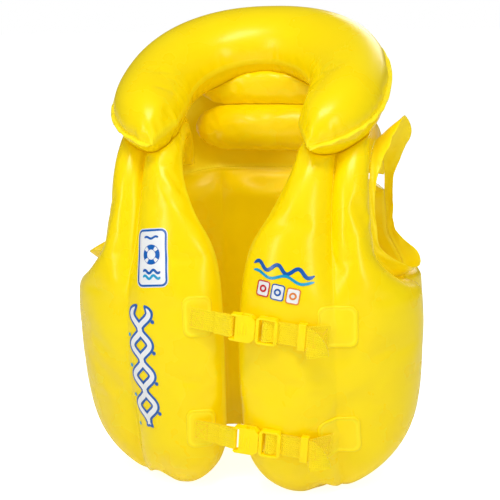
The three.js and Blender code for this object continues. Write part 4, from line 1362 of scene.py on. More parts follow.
# ---------------------------------------------------------------- things laid on a chamber
@dataclass
class Lay:
    """A flat pattern laid on a chamber: a middle, a slope, and the film under it."""

    tree: BVHTree
    x: float
    z: float
    turn: float = 0.0  # radians, anticlockwise as the front is looked at

    def __post_init__(self) -> None:
        """Finds the middle and the directions across and up."""
        hit, normal, _, _ = self.tree.ray_cast(Vector((self.x, -400, self.z)), Vector((0, 1, 0)))
        self.centre, self.normal = hit, normal
        across = Vector((0, 0, 1)).cross(normal)
        across = (-across if across.x < 0 else across).normalized()
        up = Vector((0, 0, 1)) - normal * normal.z
        up.normalize()
        self.across = across * math.cos(self.turn) + up * math.sin(self.turn)
        self.up = up * math.cos(self.turn) - across * math.sin(self.turn)

    def place(self, flat: np.ndarray, lift: float) -> np.ndarray:
        """Puts flat points, across and up in millimetres, on the film, standing off it by lift."""
        out = []
        for a, b in flat:
            start = self.centre + self.across * a + self.up * b + self.normal * 60
            hit, normal, _, _ = self.tree.ray_cast(start, -self.normal, 130)
            if hit is None:
                hit, normal, _, _ = self.tree.find_nearest(start - self.normal * 60)
            out.append(hit + normal * lift)
        return np.array([tuple(p) for p in out])


def rounded_outline(
    width: float, height: float, corner: float, steps: int = 8, step: float = 2.5
) -> np.ndarray:
    """The outline of a rounded rectangle about its middle, anticlockwise."""
    points = []
    for k, (sx, sz) in enumerate(((1, -1), (1, 1), (-1, 1), (-1, -1))):
        centre = np.array([sx * (width / 2 - corner), sz * (height / 2 - corner)])
        for t in range(steps + 1):
            angle = -math.pi / 2 + math.pi / 2 * (k + t / steps)
            points.append(centre + corner * np.array([math.cos(angle), math.sin(angle)]))
    dense = []
    for a, b in zip(points, points[1:] + points[:1]):
        count = max(1, int(np.linalg.norm(b - a) / step))
        dense += [mix(a, b, t / count) for t in range(count)]
    return np.array(dense)


def circle(radius: float, at: tuple[float, float] = (0.0, 0.0), count: int = 36) -> np.ndarray:
    """The outline of a circle."""
    turn = 2 * np.pi * np.arange(count) / count
    return np.stack([at[0] + radius * np.cos(turn), at[1] + radius * np.sin(turn)], axis=-1)


@dataclass
class Print:
    """A printed mark: shapes of ink on a chamber, one piece for each mark."""

    name: str
    lay: Lay
    palette: Palette
    points: list[np.ndarray] = field(default_factory=list)
    faces: list[tuple[int, ...]] = field(default_factory=list)
    inks: list[str] = field(default_factory=list)
    face_inks: list[int] = field(default_factory=list)
    count: int = 0

    def lay_grid(self, flat: np.ndarray, ink: str, layer: int, closed: bool) -> None:
        """Adds a grid of flat points, rows by columns."""
        rows, columns = flat.shape[:2]
        if ink not in self.inks:
            self.inks.append(ink)
        self.points.append(self.lay.place(flat.reshape(-1, 2), 0.3 + 0.12 * layer))
        faces = grid_faces(rows, columns, self.count, closed=closed)
        self.faces += faces
        self.face_inks += [self.inks.index(ink)] * len(faces)
        self.count += rows * columns

    def ring(self, outer: np.ndarray, inner: np.ndarray, ink: str, layer: int, steps: int = 2) -> None:
        """Ink between two outlines with as many points."""
        self.lay_grid(np.stack([mix(outer, inner, t / steps) for t in range(steps + 1)]), ink, layer, True)

    def fill(self, outline: np.ndarray, ink: str, layer: int, steps: int = 8) -> None:
        """Ink inside an outline."""
        centre = outline.mean(axis=0)
        self.ring(outline, centre + (outline - centre) * 0.002, ink, layer, steps)

    def ribbon(self, line: np.ndarray, width: float, ink: str, layer: int) -> None:
        """Ink along a line, with tapered ends."""
        along = unit(np.gradient(line, axis=0))
        side = np.stack([-along[:, 1], along[:, 0]], axis=-1)
        t = np.linspace(0, 1, len(line))
        half = width / 2 * np.minimum(1, lens(np.clip(t, 0.002, 0.998)) * 2.2)
        self.lay_grid(
            np.stack([line + side * (half * s)[:, None] for s in (-1, -0.33, 0.33, 1)]), ink, layer, False
        )

    def build(self) -> bpy.types.Object:
        """Makes the piece."""
        piece = make_piece(
            self.name, np.concatenate(self.points), self.faces, self.palette.inks[self.inks[0]]
        )
        for ink in self.inks[1:]:
            piece.data.materials.append(self.palette.inks[ink])
        piece.data.polygons.foreach_set("material_index", self.face_inks)
        bm = bmesh.new()
        bm.from_mesh(piece.data)
        bm.faces.ensure_lookup_table()
        for f in bm.faces:
            if f.normal.dot(self.lay.normal) < 0:
                f.normal_flip()
        bm.to_mesh(piece.data)
        bm.free()
        return settle(piece, "root", Slot.FILM)


def wave(length: float, height: float, turns: float, count: int = 120, phase: float = 0.0) -> np.ndarray:
    """A wavy line about the origin, across."""
    t = np.linspace(0, 1, count)
    return np.stack([(t - 0.5) * length, height * np.sin(2 * np.pi * turns * t + phase)], axis=-1)


def swim_badge(lay: Lay, palette: Palette) -> bpy.types.Object:
    """A white plate with a blue border, a life ring and two waves."""
    mark = Print("print_badge", lay, palette)
    outline = rounded_outline(34, 54, 6.5)
    mark.fill(outline, "white", 0, 14)
    mark.ring(rounded_outline(32.4, 52.4, 5.9), rounded_outline(28.6, 48.6, 4.2), "blue", 1)
    mark.ring(circle(9.2, (0, 3)), circle(4.6, (0, 3)), "blue", 1, 4)
    for k in range(4):
        turn = math.pi / 4 + k * math.pi / 2
        arc = np.linspace(turn - 0.24, turn + 0.24, 8)
        rows = [np.stack([r * np.cos(arc), 3 + r * np.sin(arc)], axis=-1) for r in (5.1, 6.9, 8.7)]
        mark.lay_grid(np.stack(rows), "white", 2, False)
    mark.ribbon(wave(19, 1.5, 2, 60) + [0, -12.5], 2.4, "blue", 1)
    mark.ribbon(wave(19, 1.5, 2, 60) + [0, -17.5], 2.4, "sky", 1)
    mark.ribbon(wave(16, 0.9, 1.5, 40) + [0, 18.5], 2.0, "blue", 1)
    return mark.build()


def wave_band(tree: BVHTree, palette: Palette) -> bpy.types.Object:
    """A tall band of outlined wave crests beside the crease."""
    lay = Lay(tree, -81, 128, math.radians(-87.5))
    mark = Print("print_wave_band", lay, palette)
    for k, (phase, shift) in enumerate(((0.0, 5.0), (math.pi * 0.9, -5.0))):
        line = wave(118, 5.4, 4, 200, phase) + [0, shift]
        mark.ribbon(line, 9.4, "blue", k)
        mark.ribbon(line[4:-4], 4.8, "white", k + 2)
    for k in range(4):
        mark.fill(circle(1.9, (-44.5 + 29.5 * k, 14.4), 16), "blue", 1, 2)
        mark.fill(circle(1.9, (-29.5 + 29.5 * k, -14.4), 16), "sky", 1, 2)
    return mark.build()


def chest_mark(tree: BVHTree, palette: Palette) -> bpy.types.Object:
    """Waves over three small tiles outlined in red, blue and orange."""
    mark = Print("print_chest_mark", Lay(tree, 51, 213, math.radians(-9)), palette)
    mark.ribbon(wave(56, 3.2, 3, 130) + [0, 13.5], 3.4, "blue", 0)
    mark.ribbon(wave(56, 2.2, 2, 110, 0.8) + [1, 6.2], 2.6, "sky", 1)
    for k, ink in enumerate(("red", "blue", "orange")):
        at = np.array([-14 + 14 * k, -6.5 - 0.6 * k])
        mark.fill(rounded_outline(12.4, 14.5, 2.6, 6) + at, "white", k, 4)
        mark.ring(
            rounded_outline(12.4, 14.5, 2.6, 6) + at, rounded_outline(10.2, 12.3, 1.7, 6) + at, ink, 3, 1
        )
        mark.ring(circle(3.3, tuple(at), 24), circle(1.7, tuple(at), 24), ink, 3)
    return mark.build()


@dataclass
class Patch:
    """A rounded film patch welded on a panel, with a bevelled lip and a sealed border."""

    name: str
    lay: Lay
    palette: Palette
    width: float
    height: float
    corner: float = 7.0

    def build(self) -> bpy.types.Object:
        """Makes the patch as rings from its skirt to its middle."""
        outline = rounded_outline(self.width, self.height, self.corner)
        rings, weld = [], []
        half = min(self.width, self.height) / 2
        for inset, lift in (
            (0, 0.15), (0.1, 0.9), (0.9, 1.5), (1.8, 1.55), (2.6, 1.0), (3.6, 0.95), (4.6, 1.1),
            (7, 1.2), (10, 1.25), (half * 0.9, 1.25),
        ):
            shrink = np.array(
                [(self.width - 2 * inset) / self.width, (self.height - 2 * inset) / self.height]
            )
            rings.append(self.lay.place(outline * shrink, lift))
            weld.append(1.0 if 2 < inset < 4 else 0.0)
        rows, columns = len(rings), len(outline)
        points = np.concatenate(rings)
        faces = grid_faces(rows, columns, closed=True)
        faces.append(tuple(range((rows - 1) * columns, rows * columns)))
        piece = make_piece(self.name, points, faces, self.palette.weld)
        attribute = piece.data.attributes.new("weld", "FLOAT", "POINT")
        attribute.data.foreach_set("value", np.repeat(np.array(weld, np.float32), columns))
        bm = bmesh.new()
        bm.from_mesh(piece.data)
        bmesh.ops.recalc_face_normals(bm, faces=bm.faces)
        if sum((f.normal.dot(self.lay.normal) * f.calc_area() for f in bm.faces)) < 0:
            bmesh.ops.reverse_faces(bm, faces=bm.faces)
        bm.to_mesh(piece.data)
        bm.free()
        piece.data.shade_smooth()
        return piece


# ---------------------------------------------------------------- threads and ribs
def bead_tree() -> bpy.types.NodeTree:
    """Geometry Nodes that set small rounded beads along a line, facing its outward attribute."""
    tree = bpy.data.node_groups.new("beads_along_line", "GeometryNodeTree")
    for label, kind, value in (
        ("Line", "NodeSocketGeometry", None),
        ("Spacing", "NodeSocketFloat", 0.003),
        ("Size", "NodeSocketVector", (0.001, 0.0004, 0.0003)),
        ("Finish", "NodeSocketMaterial", None),
    ):
        item = tree.interface.new_socket(name=label, in_out="INPUT", socket_type=kind)
        if value is not None:
            item.default_value = value
    tree.interface.new_socket(name="Beads", in_out="OUTPUT", socket_type="NodeSocketGeometry")
    nodes, links = tree.nodes, tree.links
    start, end = nodes.new("NodeGroupInput"), nodes.new("NodeGroupOutput")
    curve = nodes.new("GeometryNodeMeshToCurve")
    even = nodes.new("GeometryNodeResampleCurve")
    even.mode = "LENGTH"
    tangent = nodes.new("GeometryNodeInputTangent")
    outward = nodes.new("GeometryNodeInputNamedAttribute")
    outward.data_type = "FLOAT_VECTOR"
    outward.inputs["Name"].default_value = "outward"
    along = nodes.new("FunctionNodeAlignRotationToVector")
    facing = nodes.new("FunctionNodeAlignRotationToVector")
    along.axis, facing.axis, facing.pivot_axis = "X", "Z", "X"
    bead = nodes.new("GeometryNodeMeshUVSphere")
    bead.inputs["Segments"].default_value = 8
    bead.inputs["Rings"].default_value = 5
    bead.inputs["Radius"].default_value = 1.0
    place = nodes.new("GeometryNodeInstanceOnPoints")
    real = nodes.new("GeometryNodeRealizeInstances")
    soft = nodes.new("GeometryNodeSetShadeSmooth")
    dress = nodes.new("GeometryNodeSetMaterial")
    for source, target in (
        (start.outputs["Line"], curve.inputs["Mesh"]),
        (curve.outputs[0], even.inputs["Curve"]),
        (start.outputs["Spacing"], even.inputs["Length"]),
        (even.outputs[0], place.inputs["Points"]),
        (tangent.outputs[0], along.inputs["Vector"]),
        (along.outputs[0], facing.inputs["Rotation"]),
        (outward.outputs[0], facing.inputs["Vector"]),
        (facing.outputs[0], place.inputs["Rotation"]),
        (bead.outputs["Mesh"], place.inputs["Instance"]),
        (start.outputs["Size"], place.inputs["Scale"]),
        (place.outputs[0], real.inputs[0]),
        (real.outputs[0], soft.inputs["Geometry"]),
        (soft.outputs[0], dress.inputs["Geometry"]),
        (start.outputs["Finish"], dress.inputs["Material"]),
        (dress.outputs[0], end.inputs[0]),
    ):
        links.new(source, target)
    return tree


@dataclass
class Beads:
    """Beads along lines: stitches in webbing, and grip ribs on a buckle."""

    tree: bpy.types.NodeTree

    def build(
        self, name: str, lines: Sequence[np.ndarray], outward: Sequence[np.ndarray], spacing: float,
        size: tuple[float, float, float], material: bpy.types.Material,
    ) -> bpy.types.Object:
        """Makes one piece of beads.

        Args:
            name: The piece's name.
            lines: Points of each line, in millimetres.
            outward: The direction that each point's bead faces.
            spacing: Between beads, in millimetres.
            size: Half a bead's length, width and height, in millimetres.
            material: Its finish.

        Returns:
            The beads as a plain mesh.
        """
        points = (np.concatenate(lines) + SHIFT) * MM
        edges, first = [], 0
        for line in lines:
            edges += [(first + k, first + k + 1) for k in range(len(line) - 1)]
            first += len(line)
        mesh = bpy.data.meshes.new(name)
        mesh.from_pydata(points.tolist(), edges, [])
        mesh.attributes.new("outward", "FLOAT_VECTOR", "POINT").data.foreach_set(
            "vector", np.concatenate(outward).astype(np.float32).ravel()
        )
        piece = bpy.data.objects.new(name, mesh)
        bpy.context.scene.collection.objects.link(piece)
        modifier = piece.modifiers.new("beads", "NODES")
        modifier.node_group = self.tree
        keys = {
            item.name: item.identifier for item in self.tree.interface.items_tree if item.in_out == "INPUT"
        }
        modifier[keys["Spacing"]] = spacing * MM
        modifier[keys["Size"]] = [s * MM for s in size]
        modifier[keys["Finish"]] = material
        apply_modifiers(piece)
        return piece


# ---------------------------------------------------------------- closures
def hardware(
    node: str, name: str, body: str, slot: Slot, material: bpy.types.Material, bevel: float
) -> bpy.types.Object:
    """A moulded part with softened edges, in a CAD solid's place.

    Args:
        node: The solid.
        name: The piece's name.
        body: The body it rides on.
        slot: Not used.
        material: Its finish.
        bevel: Width of its softened edges, in millimetres.

    Returns:
        The piece.
    """
    mesh = frame["nodes"][node].data.copy()
    mesh.name = name
    mesh.materials.clear()
    mesh.materials.append(material)
    bm = bmesh.new()
    bm.from_mesh(mesh)
    bmesh.ops.remove_doubles(bm, verts=bm.verts, dist=2e-6)
    bmesh.ops.dissolve_limit(bm, angle_limit=math.radians(1.5), verts=bm.verts, edges=bm.edges)
    bmesh.ops.recalc_face_normals(bm, faces=bm.faces)
    for f in bm.faces:
        f.material_index = 0
    bm.to_mesh(mesh)
    bm.free()
    piece = bpy.data.objects.new(name, mesh)
    bpy.context.scene.collection.objects.link(piece)
    soft = piece.modifiers.new("soften", "BEVEL")
    soft.width = bevel * MM
    soft.segments = 2
    soft.limit_method = "ANGLE"
    soft.angle_limit = math.radians(32)
    apply_modifiers(piece)
    piece.data.shade_smooth()
    piece.data.set_sharp_from_angle(angle=math.radians(42))
    return settle(piece, body, slot, node)


@dataclass
class Closure:
    """One strap: its patches, two lengths of webbing, buckle, keeper and stitching."""

    name: str
    height: float
    tilt: float
    palette: Palette
    beads: Beads
    trees: dict[str, BVHTree]
    x: float = 25.0
    width: float = 20.0
    thickness: float = 1.4
    thick: float = 4.5
    mouth: float = 6.0
    socket_end: float = -20.0
    plug_end: float = 26.5
    bar: float = 3.2
    wrap: float = 2.3
    ladder: float = 13.9
    load_y: float = 2.2
    keeper_x: float = 45.0
    keeper_length: float = 7.0
    lines: dict[str, np.ndarray] = field(default_factory=dict)

    def __post_init__(self) -> None:
        """Finds the plane that the strap stands in."""
        low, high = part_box(f"{self.name}_buckle_socket")
        self.middle_y = (low[1] + high[1]) / 2 / MM - SHIFT[1]

    def to_vest(self, local: np.ndarray) -> np.ndarray:
        """Points from the strap's own frame: along it, towards the wearer, and up across it."""
        c, s = math.cos(self.tilt), math.sin(self.tilt)
        x, y, z = local[..., 0], local[..., 1], local[..., 2]
        return np.stack([self.x + x * c + z * s, self.middle_y + y, self.height - x * s + z * c], axis=-1)

    def face_y(self, local_x: float) -> float:
        """How near webbing may lie to the panel, in the strap's frame."""
        x = self.x + local_x
        tree = self.trees["left" if x > 0 else "right"]
        best = 0.0
        for reach in (-10, -5, 0, 5, 10):
            z = self.height - local_x * math.tan(self.tilt) + reach
            hit, normal, _, _ = tree.ray_cast(Vector((x, -400, z)), Vector((0, 1, 0)))
            if hit is not None:
                best = min(best, hit.y - 2.5 / max(0.5, -normal.y))
        return best - self.middle_y

    def taut(
        self, start: tuple[float, float], end: tuple[float, float], count: int
    ) -> list[tuple[float, float, float]]:
        """Webbing pulled straight between two places, or over the film where that is fuller."""
        line = []
        for k in range(count + 1):
            x = mix(start[0], end[0], k / count)
            line.append((x, min(mix(start[1], end[1], k / count), self.face_y(x)), 0.0))
        return line

    def webbing(self, name: str, path: Sequence[tuple[float, float, float]]) -> bpy.types.Object:
        """Woven webbing along a path, with soft edges and closed ends."""
        line = np.array(path, float)
        for _ in range(2):
            near, far = mix(line[:-1], line[1:], 0.25), mix(line[:-1], line[1:], 0.75)
            line = np.concatenate([line[:1], np.stack([near, far], axis=1).reshape(-1, 3), line[-1:]])
        along = unit(np.gradient(line, axis=0))
        upright = np.array([0.0, 0.0, 1.0])
        across = unit(upright - along * (along @ upright)[:, None])
        facing = unit(np.cross(along, across))
        half, deep = self.width / 2, self.thickness / 2
        profile = [
            (-half, 0), (-half + 0.35, -deep), (-half / 2, -deep), (0, -deep), (half / 2, -deep),
            (half - 0.35, -deep),
        ]
        profile += [
            (half, 0), (half - 0.35, deep), (half / 2, deep), (0, deep), (-half / 2, deep),
            (-half + 0.35, deep),
        ]
        rings = [line + across * a + facing * b for a, b in profile]
        points = np.stack(rings, axis=1)
        rows, columns = points.shape[:2]
        faces = grid_faces(rows, columns, closed=True)
        faces += [tuple(range(columns)), tuple(range((rows - 1) * columns, rows * columns))]
        piece = make_piece(name, self.to_vest(points.reshape(-1, 3)), faces, self.palette.webbing[self.name])
        outward_faces(piece)
        piece.data.set_sharp_from_angle(angle=math.radians(60))
        self.lines[name] = line
        return piece

    def anchor_path(self) -> list[tuple[float, float, float]]:
        """From the right patch through the socket's slot, round its bar and back."""
        turn = self.socket_end + self.bar + 1.3
        start = -32.0 - self.x
        return self.taut((start, self.face_y(start)), (self.socket_end - 6, 2.2), 9) + [
            (self.socket_end, self.wrap, 0), (turn - 0.9, self.wrap, 0), (turn, 0.9, 0), (turn, -0.9, 0),
            (turn - 0.9, -self.wrap, 0), (self.socket_end, -self.wrap, 0),
            (self.socket_end - 6, 0.2, 0), (self.socket_end - 12, 0.1, 0),
        ]

    def adjust_path(self) -> list[tuple[float, float, float]]:
        """From the left patch through the plug's ladder and back, ending in a hanging tail."""
        middle = self.keeper_x + self.keeper_length / 2
        beyond = self.keeper_x + self.keeper_length
        turn = self.ladder - 1.6
        tail_y = self.load_y - 1.9
        start = 95.0 - self.x
        out = min(-2.6, self.face_y(beyond + 8) - 3.4, self.face_y(beyond + 12) - 3.4)
        return self.taut((start, self.face_y(start)), (beyond + 2, 1.4), 10) + [
            (middle, 1.1, 0), (self.plug_end + 6, self.load_y + 0.2, 0),
            (self.plug_end, self.load_y, 0), (turn + 1.2, self.load_y, 0),
            (turn, 0.9, 0), (turn, -0.9, 0), (turn + 1.2, -self.wrap, 0),
            (self.ladder + self.bar - 0.3, -self.wrap, 0), (self.ladder + self.bar + 2.2, -0.7, 0),
            (self.plug_end - self.bar, tail_y, 0), (self.plug_end, tail_y, 0),
            (self.plug_end + 6, tail_y - 0.5, 0), (middle, -1.2, 0),
            (beyond + 1, -1.4, -0.2), (beyond + 5, out, -1.5),
            (beyond + 9, out - 1.0, -5), (beyond + 11.5, out - 1.0, -10.5), (beyond + 12.5, out - 0.6, -16.5),
        ]

    def box_stitch(self, name: str, low: float, high: float, rise: float) -> bpy.types.Object:
        """A sewn box with a cross, on the webbing's outer face."""
        corners = [(low, -rise), (high, -rise), (high, rise), (low, rise), (low, -rise), (high, rise)]
        corners2 = [(low, rise), (high, -rise)]
        lines, outward = [], []
        for path in (corners, corners2):
            dense = np.concatenate(
                [np.linspace(a, b, 12)[:-1] for a, b in zip(path, path[1:])] + [[path[-1]]]
            )
            local = np.array([(x, self.outer_y(x) - 0.12, z) for x, z in dense])
            lines.append(self.to_vest(local))
            outward.append(np.tile([0.0, -1.0, 0.0], (len(dense), 1)))
        return self.beads.build(name, lines, outward, 2.3, (0.85, 0.3, 0.24), self.palette.thread)

    def outer_y(self, local_x: float) -> float:
        """The outer face of the webbing on a patch."""
        line = self.lines[self.strap_name(local_x)]
        order = np.argsort(line[:, 0])
        near = line[np.abs(line[:, 0] - local_x) < 4]
        low = near[near[:, 1] < np.min(near[:, 1]) + 1.2] if len(near) else line[order[:1]]
        return float(np.interp(local_x, *low[np.argsort(low[:, 0])][:, :2].T)) - self.thickness / 2

    def strap_name(self, local_x: float) -> str:
        """Which length of webbing lies at a place."""
        return f"{self.name}_{'anchor' if local_x < 0 else 'adjust'}_webbing"

    def build(self) -> None:
        """Makes every piece of the closure."""
        n = self.name
        slope = math.tan(self.tilt)
        right_z = self.height - (-25.5 - self.x) * slope
        left_z = self.height - (101 - self.x) * slope + 7
        for side, x, z, width in (("right", -26.5, right_z, 27.0), ("left", 101.0, left_z, 36.0)):
            lay = Lay(self.trees[side], x, z)
            patch = Patch(f"{n}_film_patch_{side}", lay, self.palette, width, 38.0).build()
            settle(patch, "root", Slot.WELD, f"{n}_patch_{side}")
        anchor = self.webbing(f"{n}_anchor_webbing", self.anchor_path())
        settle(anchor, "root", Slot.WEBBING, f"{n}_anchor_strap")
        adjust = self.webbing(f"{n}_adjust_webbing", self.adjust_path())
        ends = [
            self.to_vest(np.array([x, 0.0, 0.0])) + SHIFT
            for x in (self.keeper_x + self.keeper_length + 14, self.plug_end + 3)
        ]
        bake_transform(adjust)
        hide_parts(f"{n}_adjust_strap")
        for end, low, high in (("right", -55.0, -44.0), ("left", 59.5, 68.5)):
            settle(self.box_stitch(f"{n}_stitching_{end}", low, high, 7.0), "root", Slot.WEBBING)
        buckle = self.palette.buckle
        hardware(f"{n}_buckle_socket", f"{n}_socket_moulding", "root", Slot.BUCKLE, buckle, 0.55)
        hardware(f"{n}_buckle_plug", f"{n}_plug_moulding", f"{n}_plug", Slot.BUCKLE, buckle, 0.5)
        for side in ("top", "bottom"):
            hardware(
                f"{n}_prong_{side}", f"{n}_prong_moulding_{side}", f"{n}_prong_{side}", Slot.BUCKLE,
                buckle, 0.35,
            )
        hardware(f"{n}_strap_keeper", f"{n}_keeper_loop", "root", Slot.BUCKLE, buckle, 0.45)
        face = -self.thick - 0.05
        line = self.to_vest(np.array([(x, face, 0.0) for x in np.linspace(-9.5, -1.5, 9)]))
        ribs = self.beads.build(
            f"{n}_socket_ribs", [line], [np.tile([0.0, -1.0, 0.0], (9, 1))], 2.6, (0.55, 6.5, 0.5), buckle
        )
        settle(ribs, "root", Slot.BUCKLE)


# ---------------------------------------------------------------- valves
@dataclass
class Valve:
    """A push-in air valve: stem, cap, inner flap and the weld round its foot."""

    name: str
    palette: Palette
    ear: float = -9.1
    lip: float = 3.15
    pocket_radius: float = 5.2
    pocket_depth: float = 30.0
    pocket_middle: float = 7.0  # below the chamber's face

    def __post_init__(self) -> None:
        """Finds where the valve stands from its joints."""
        joints = {j["name"]: j for j in frame["joints"]}
        hinge = joints[f"{self.name}_cap_open"]
        place = np.array(hinge.get("pos_m") or hinge.get("pos")) / MM - SHIFT
        self.out = unit(np.array(joints[f"{self.name}_valve_pull"]["axis"], float))
        side = np.cross(-unit(np.array(hinge["axis"], float)), self.out)
        self.centre = place - side * self.ear - self.out * self.lip
        self.side = side
        self.across = np.cross(self.out, side)

    def pocket(self, chamber: bpy.types.Object) -> None:
        """Cuts the pocket that the stem stands in."""
        bm = bmesh.new()
        turn = Matrix([(*self.side, 0), (*self.across, 0), (*self.out, 0), (0, 0, 0, 1)]).transposed()
        middle = (self.centre - self.out * self.pocket_middle + SHIFT) * MM
        radius = self.pocket_radius * MM
        matrix = Matrix.Translation(middle) @ turn
        bmesh.ops.create_cone(
            bm, cap_ends=True, segments=40, radius1=radius, radius2=radius,
            depth=self.pocket_depth * MM, matrix=matrix,
        )
        mesh = bpy.data.meshes.new("pocket")
        bm.to_mesh(mesh)
        bm.free()
        cutter = bpy.data.objects.new("pocket", mesh)
        bpy.context.scene.collection.objects.link(cutter)
        cut = chamber.modifiers.new("pocket", "BOOLEAN")
        cut.operation = "DIFFERENCE"
        cut.object = cutter
        apply_modifiers(chamber)
        bpy.data.objects.remove(cutter)

    def build(self, chamber: bpy.types.Object) -> None:
        """Makes the valve's pieces on its chamber."""
        tree = tree_of(chamber)
        rings = []
        turn = 2 * np.pi * np.arange(48) / 48
        for radius, lift in (
            (11.4, 0.1), (11.2, 0.75), (10.6, 1.0), (9.8, 1.05), (9.2, 0.8), (8.4, 0.8), (7.8, 1.1),
            (6.2, 1.15), (5.4, 1.1), (5.3, -0.5),
        ):
            ring = []
            for t in turn:
                spoke = self.side * math.cos(t) + self.across * math.sin(t)
                start = Vector(self.centre + spoke * max(radius, 6.0) + self.out * 25)
                hit, _, _, _ = tree.ray_cast(start, -Vector(self.out), 60)
                base = hit if hit is not None else start - Vector(self.out) * 25
                flat = Vector(spoke * (radius - max(radius, 6.0)))
                ring.append(base + flat + Vector(self.out) * lift)
            rings.append(np.array([tuple(p) for p in ring]))
        weld = make_piece(
            f"{self.name}_valve_foot", np.concatenate(rings),
            grid_faces(len(rings), 48, closed=True), self.palette.weld,
        )
        attribute = weld.data.attributes.new("weld", "FLOAT", "POINT")
        attribute.data.foreach_set(
            "value", np.repeat(np.array([0, 0, 0, 0, 1, 1, 0, 0, 0, 0], np.float32), 48)
        )
        bm = bmesh.new()
        bm.from_mesh(weld.data)
        bmesh.ops.recalc_face_normals(bm, faces=bm.faces)
        out = Vector(self.out)
        if sum(f.normal.dot(out) * f.calc_area() for f in bm.faces) < 0:
            bmesh.ops.reverse_faces(bm, faces=bm.faces)
        bm.to_mesh(weld.data)
        bm.free()
        settle(weld, "root", Slot.WELD, f"{self.name}_valve_weld")
        for part in ("stem", "cap", "flap"):
            node = f"{self.name}_valve_{part}"
            hardware(node, f"{node}_moulding", node, Slot.VALVE, self.palette.valve, 0.22)


# ---------------------------------------------------------------- the vest
@dataclass
class Vest:
    """The whole vest, built in order so that each chamber rests against those before it."""

    palette: Palette

    def build(self) -> None:
        """Makes every piece."""
        palette = self.palette
        valves = {name: Valve(name, palette) for name in ("collar", "front", "back")}
        collar = Collar(palette)
        cushion = collar.build(Inflation(bending=0.8))
        collar_tree = tree_of(cushion)
        under = (collar_tree, collar.down)
        roll = Roll("neck_roll_cushion", palette, 74, 23, 19, 62, 327).build(Inflation(steps=12), [under])
        roll_tree = tree_of(roll)
        web = Roll("neck_web_cushion", palette, 70, 20, 10, 65, 368).build(
            Inflation(steps=12, outward=1.0), [under, (roll_tree, None)]
        )
        web_tree = tree_of(web)
        neck = [under, (roll_tree, None), (web_tree, None)]
        left = FrontPanel("front_panel_left", palette, left=True)
        right = FrontPanel("front_panel_right", palette, left=False)
        back = BackPanel("back_panel", palette)
        left_piece, right_piece = left.build(neck, 31.0), right.build(neck, 57.0)
        back_piece = back.build(neck, 83.0)
        around = [tree_of(left_piece), tree_of(right_piece), tree_of(back_piece)]
        film = NeckFilm(palette).build(back, [collar_tree, roll_tree, web_tree, *around])
        trees = {"left": tree_of(left_piece), "right": tree_of(right_piece)}
        for valve, piece in (
            (valves["collar"], cushion), (valves["front"], right_piece), (valves["back"], back_piece)
        ):
            valve.pocket(piece)
            valve.build(piece)
        settle(collar.build_rim(), "root", Slot.WELD)
        for piece, node in (
            (cushion, "collar_chamber"), (roll, "neck_roll"), (web, "neck_web"),
            (left_piece, "front_chamber_left"), (right_piece, "front_chamber_right"), (
                back_piece, "back_chamber"
            ),
        ):
            settle(piece, "root", Slot.FILM, node)
        settle(film, "root", Slot.FILM, "neck_panel")
        flanges = {
            "left": ArmholeFlange(palette, True),
            "right": ArmholeFlange(palette, False, 6.0, 6.0, 6.0, 30.0, 0.4),
        }
        for side, flange in flanges.items():
            settle(flange.build(left, back), "root", Slot.WELD, f"armhole_flange_{side}")
        beads = Beads(bead_tree())
        for name, height, tilt in (("upper", 174.0, 6.0), ("lower", 67.0, 5.0)):
            Closure(name, height, math.radians(tilt), palette, beads, trees).build()
        swim_badge(Lay(trees["right"], -70, 231, math.radians(8)), palette)
        wave_band(trees["right"], palette)
        chest_mark(trees["left"], palette)


# ---------------------------------------------------------------- studio
@dataclass(frozen=True)
class SoftLight:
    """A rectangular soft light that looks at the vest."""

    name: str
    place: tuple[float, float, float]
    size: tuple[float, float]
    power: float
    colour: tuple[float, float, float] = (1.0, 1.0, 1.0)

    def build(self, target: Vector) -> None:
        """Makes the light."""
        data = bpy.data.lights.new(self.name, "AREA")
        data.shape = "RECTANGLE"
        data.size, data.size_y = self.size
        data.energy = self.power
        data.color = self.colour
        lamp = bpy.data.objects.new(self.name, data)
        lamp.location = self.place
        lamp.rotation_euler = (target - Vector(self.place)).to_track_quat("-Z", "Y").to_euler()
        bpy.context.scene.collection.objects.link(lamp)


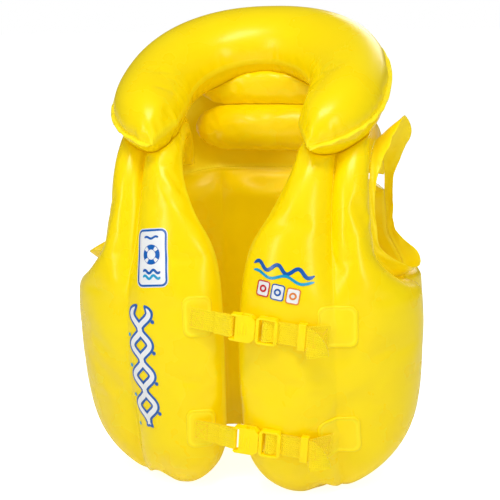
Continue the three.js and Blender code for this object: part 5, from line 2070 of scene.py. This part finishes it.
@dataclass(frozen=True)
class Studio:
    """A pale floor, soft lights and the camera."""

    azimuth: float = math.radians(15)
    elevation: float = math.radians(14)
    distance: float = 1.2
    target: tuple[float, float, float] = (0.0, 0.0, 0.215)
    lens: float = 88.2
    roll: float = math.radians(-1.7)

    def floor(self) -> None:
        """A large pale floor."""
        mesh = bpy.data.meshes.new("studio_floor")
        half = 6.0
        mesh.from_pydata(
            [(-half, -half, 0), (half, -half, 0), (half, half, 0), (-half, half, 0)], [], [(0, 1, 2, 3)]
        )
        material = bpy.data.materials.new("studio_floor")
        material.use_nodes = True
        shader = material.node_tree.nodes["Principled BSDF"]
        shader.inputs["Base Color"].default_value = (0.9, 0.9, 0.9, 1)
        shader.inputs["Emission Color"].default_value = (1, 1, 1, 1)
        w = Wiring(material.node_tree)
        seen = w.add("ShaderNodeLightPath").outputs["Is Camera Ray"]
        w.feed(shader.inputs["Emission Strength"], w.ramp(seen, 0.0, 1.0, 0.08, 0.8))
        shader.inputs["Roughness"].default_value = 0.9
        shader.inputs["Specular IOR Level"].default_value = 0.1
        mesh.materials.append(material)
        floor = bpy.data.objects.new("studio_floor", mesh)
        bpy.context.scene.collection.objects.link(floor)

    def world(self) -> None:
        """A white surround that lights the vest softly."""
        world = bpy.data.worlds.new("studio")
        world.use_nodes = True
        w = Wiring(world.node_tree)
        background = world.node_tree.nodes["Background"]
        path = w.add("ShaderNodeLightPath").outputs
        lit = w.ramp(path["Is Glossy Ray"], 0.0, 1.0, 0.34, 0.07)
        w.feed(background.inputs["Strength"], w.math("MAXIMUM", lit, path["Is Camera Ray"]))
        background.inputs["Color"].default_value = (1, 1, 1, 1)
        bpy.context.scene.world = world

    def camera(self) -> None:
        """The camera, in front and a little above, to the wearer's left."""
        a, e = self.azimuth, self.elevation
        back = Vector((math.sin(a) * math.cos(e), -math.cos(a) * math.cos(e), math.sin(e)))
        data = bpy.data.cameras.new("camera")
        data.lens = self.lens
        data.sensor_width = 36.0
        data.shift_x = -0.01
        camera = bpy.data.objects.new("camera", data)
        camera.location = Vector(self.target) + back * self.distance
        camera.rotation_euler = (
            back.to_track_quat("Z", "Y") @ Quaternion((0.0, 0.0, 1.0), self.roll)
        ).to_euler()
        bpy.context.scene.collection.objects.link(camera)
        bpy.context.scene.camera = camera

    def build(self) -> None:
        """Makes the studio."""
        self.floor()
        self.world()
        self.camera()
        target = Vector(self.target)
        for light in (
            SoftLight("overhead", (0.1, -0.75, 1.45), (0.75, 0.3), 9.0),
            SoftLight("front_right", (1.15, -1.2, 0.75), (0.18, 0.8), 4.1),
            SoftLight("front_left", (-0.75, -1.35, 0.8), (0.18, 0.8), 4.1),
            SoftLight("rear", (0.3, 1.4, 0.9), (0.8, 0.6), 4.5),
        ):
            light.build(target)
        scene = bpy.context.scene
        scene.view_settings.view_transform = "Standard"
        scene.view_settings.look = "None"


def main() -> None:
    """Builds the studio and the vest."""
    Studio().build()
    Vest(Palette()).build()


if __name__ == "__main__":
    main()
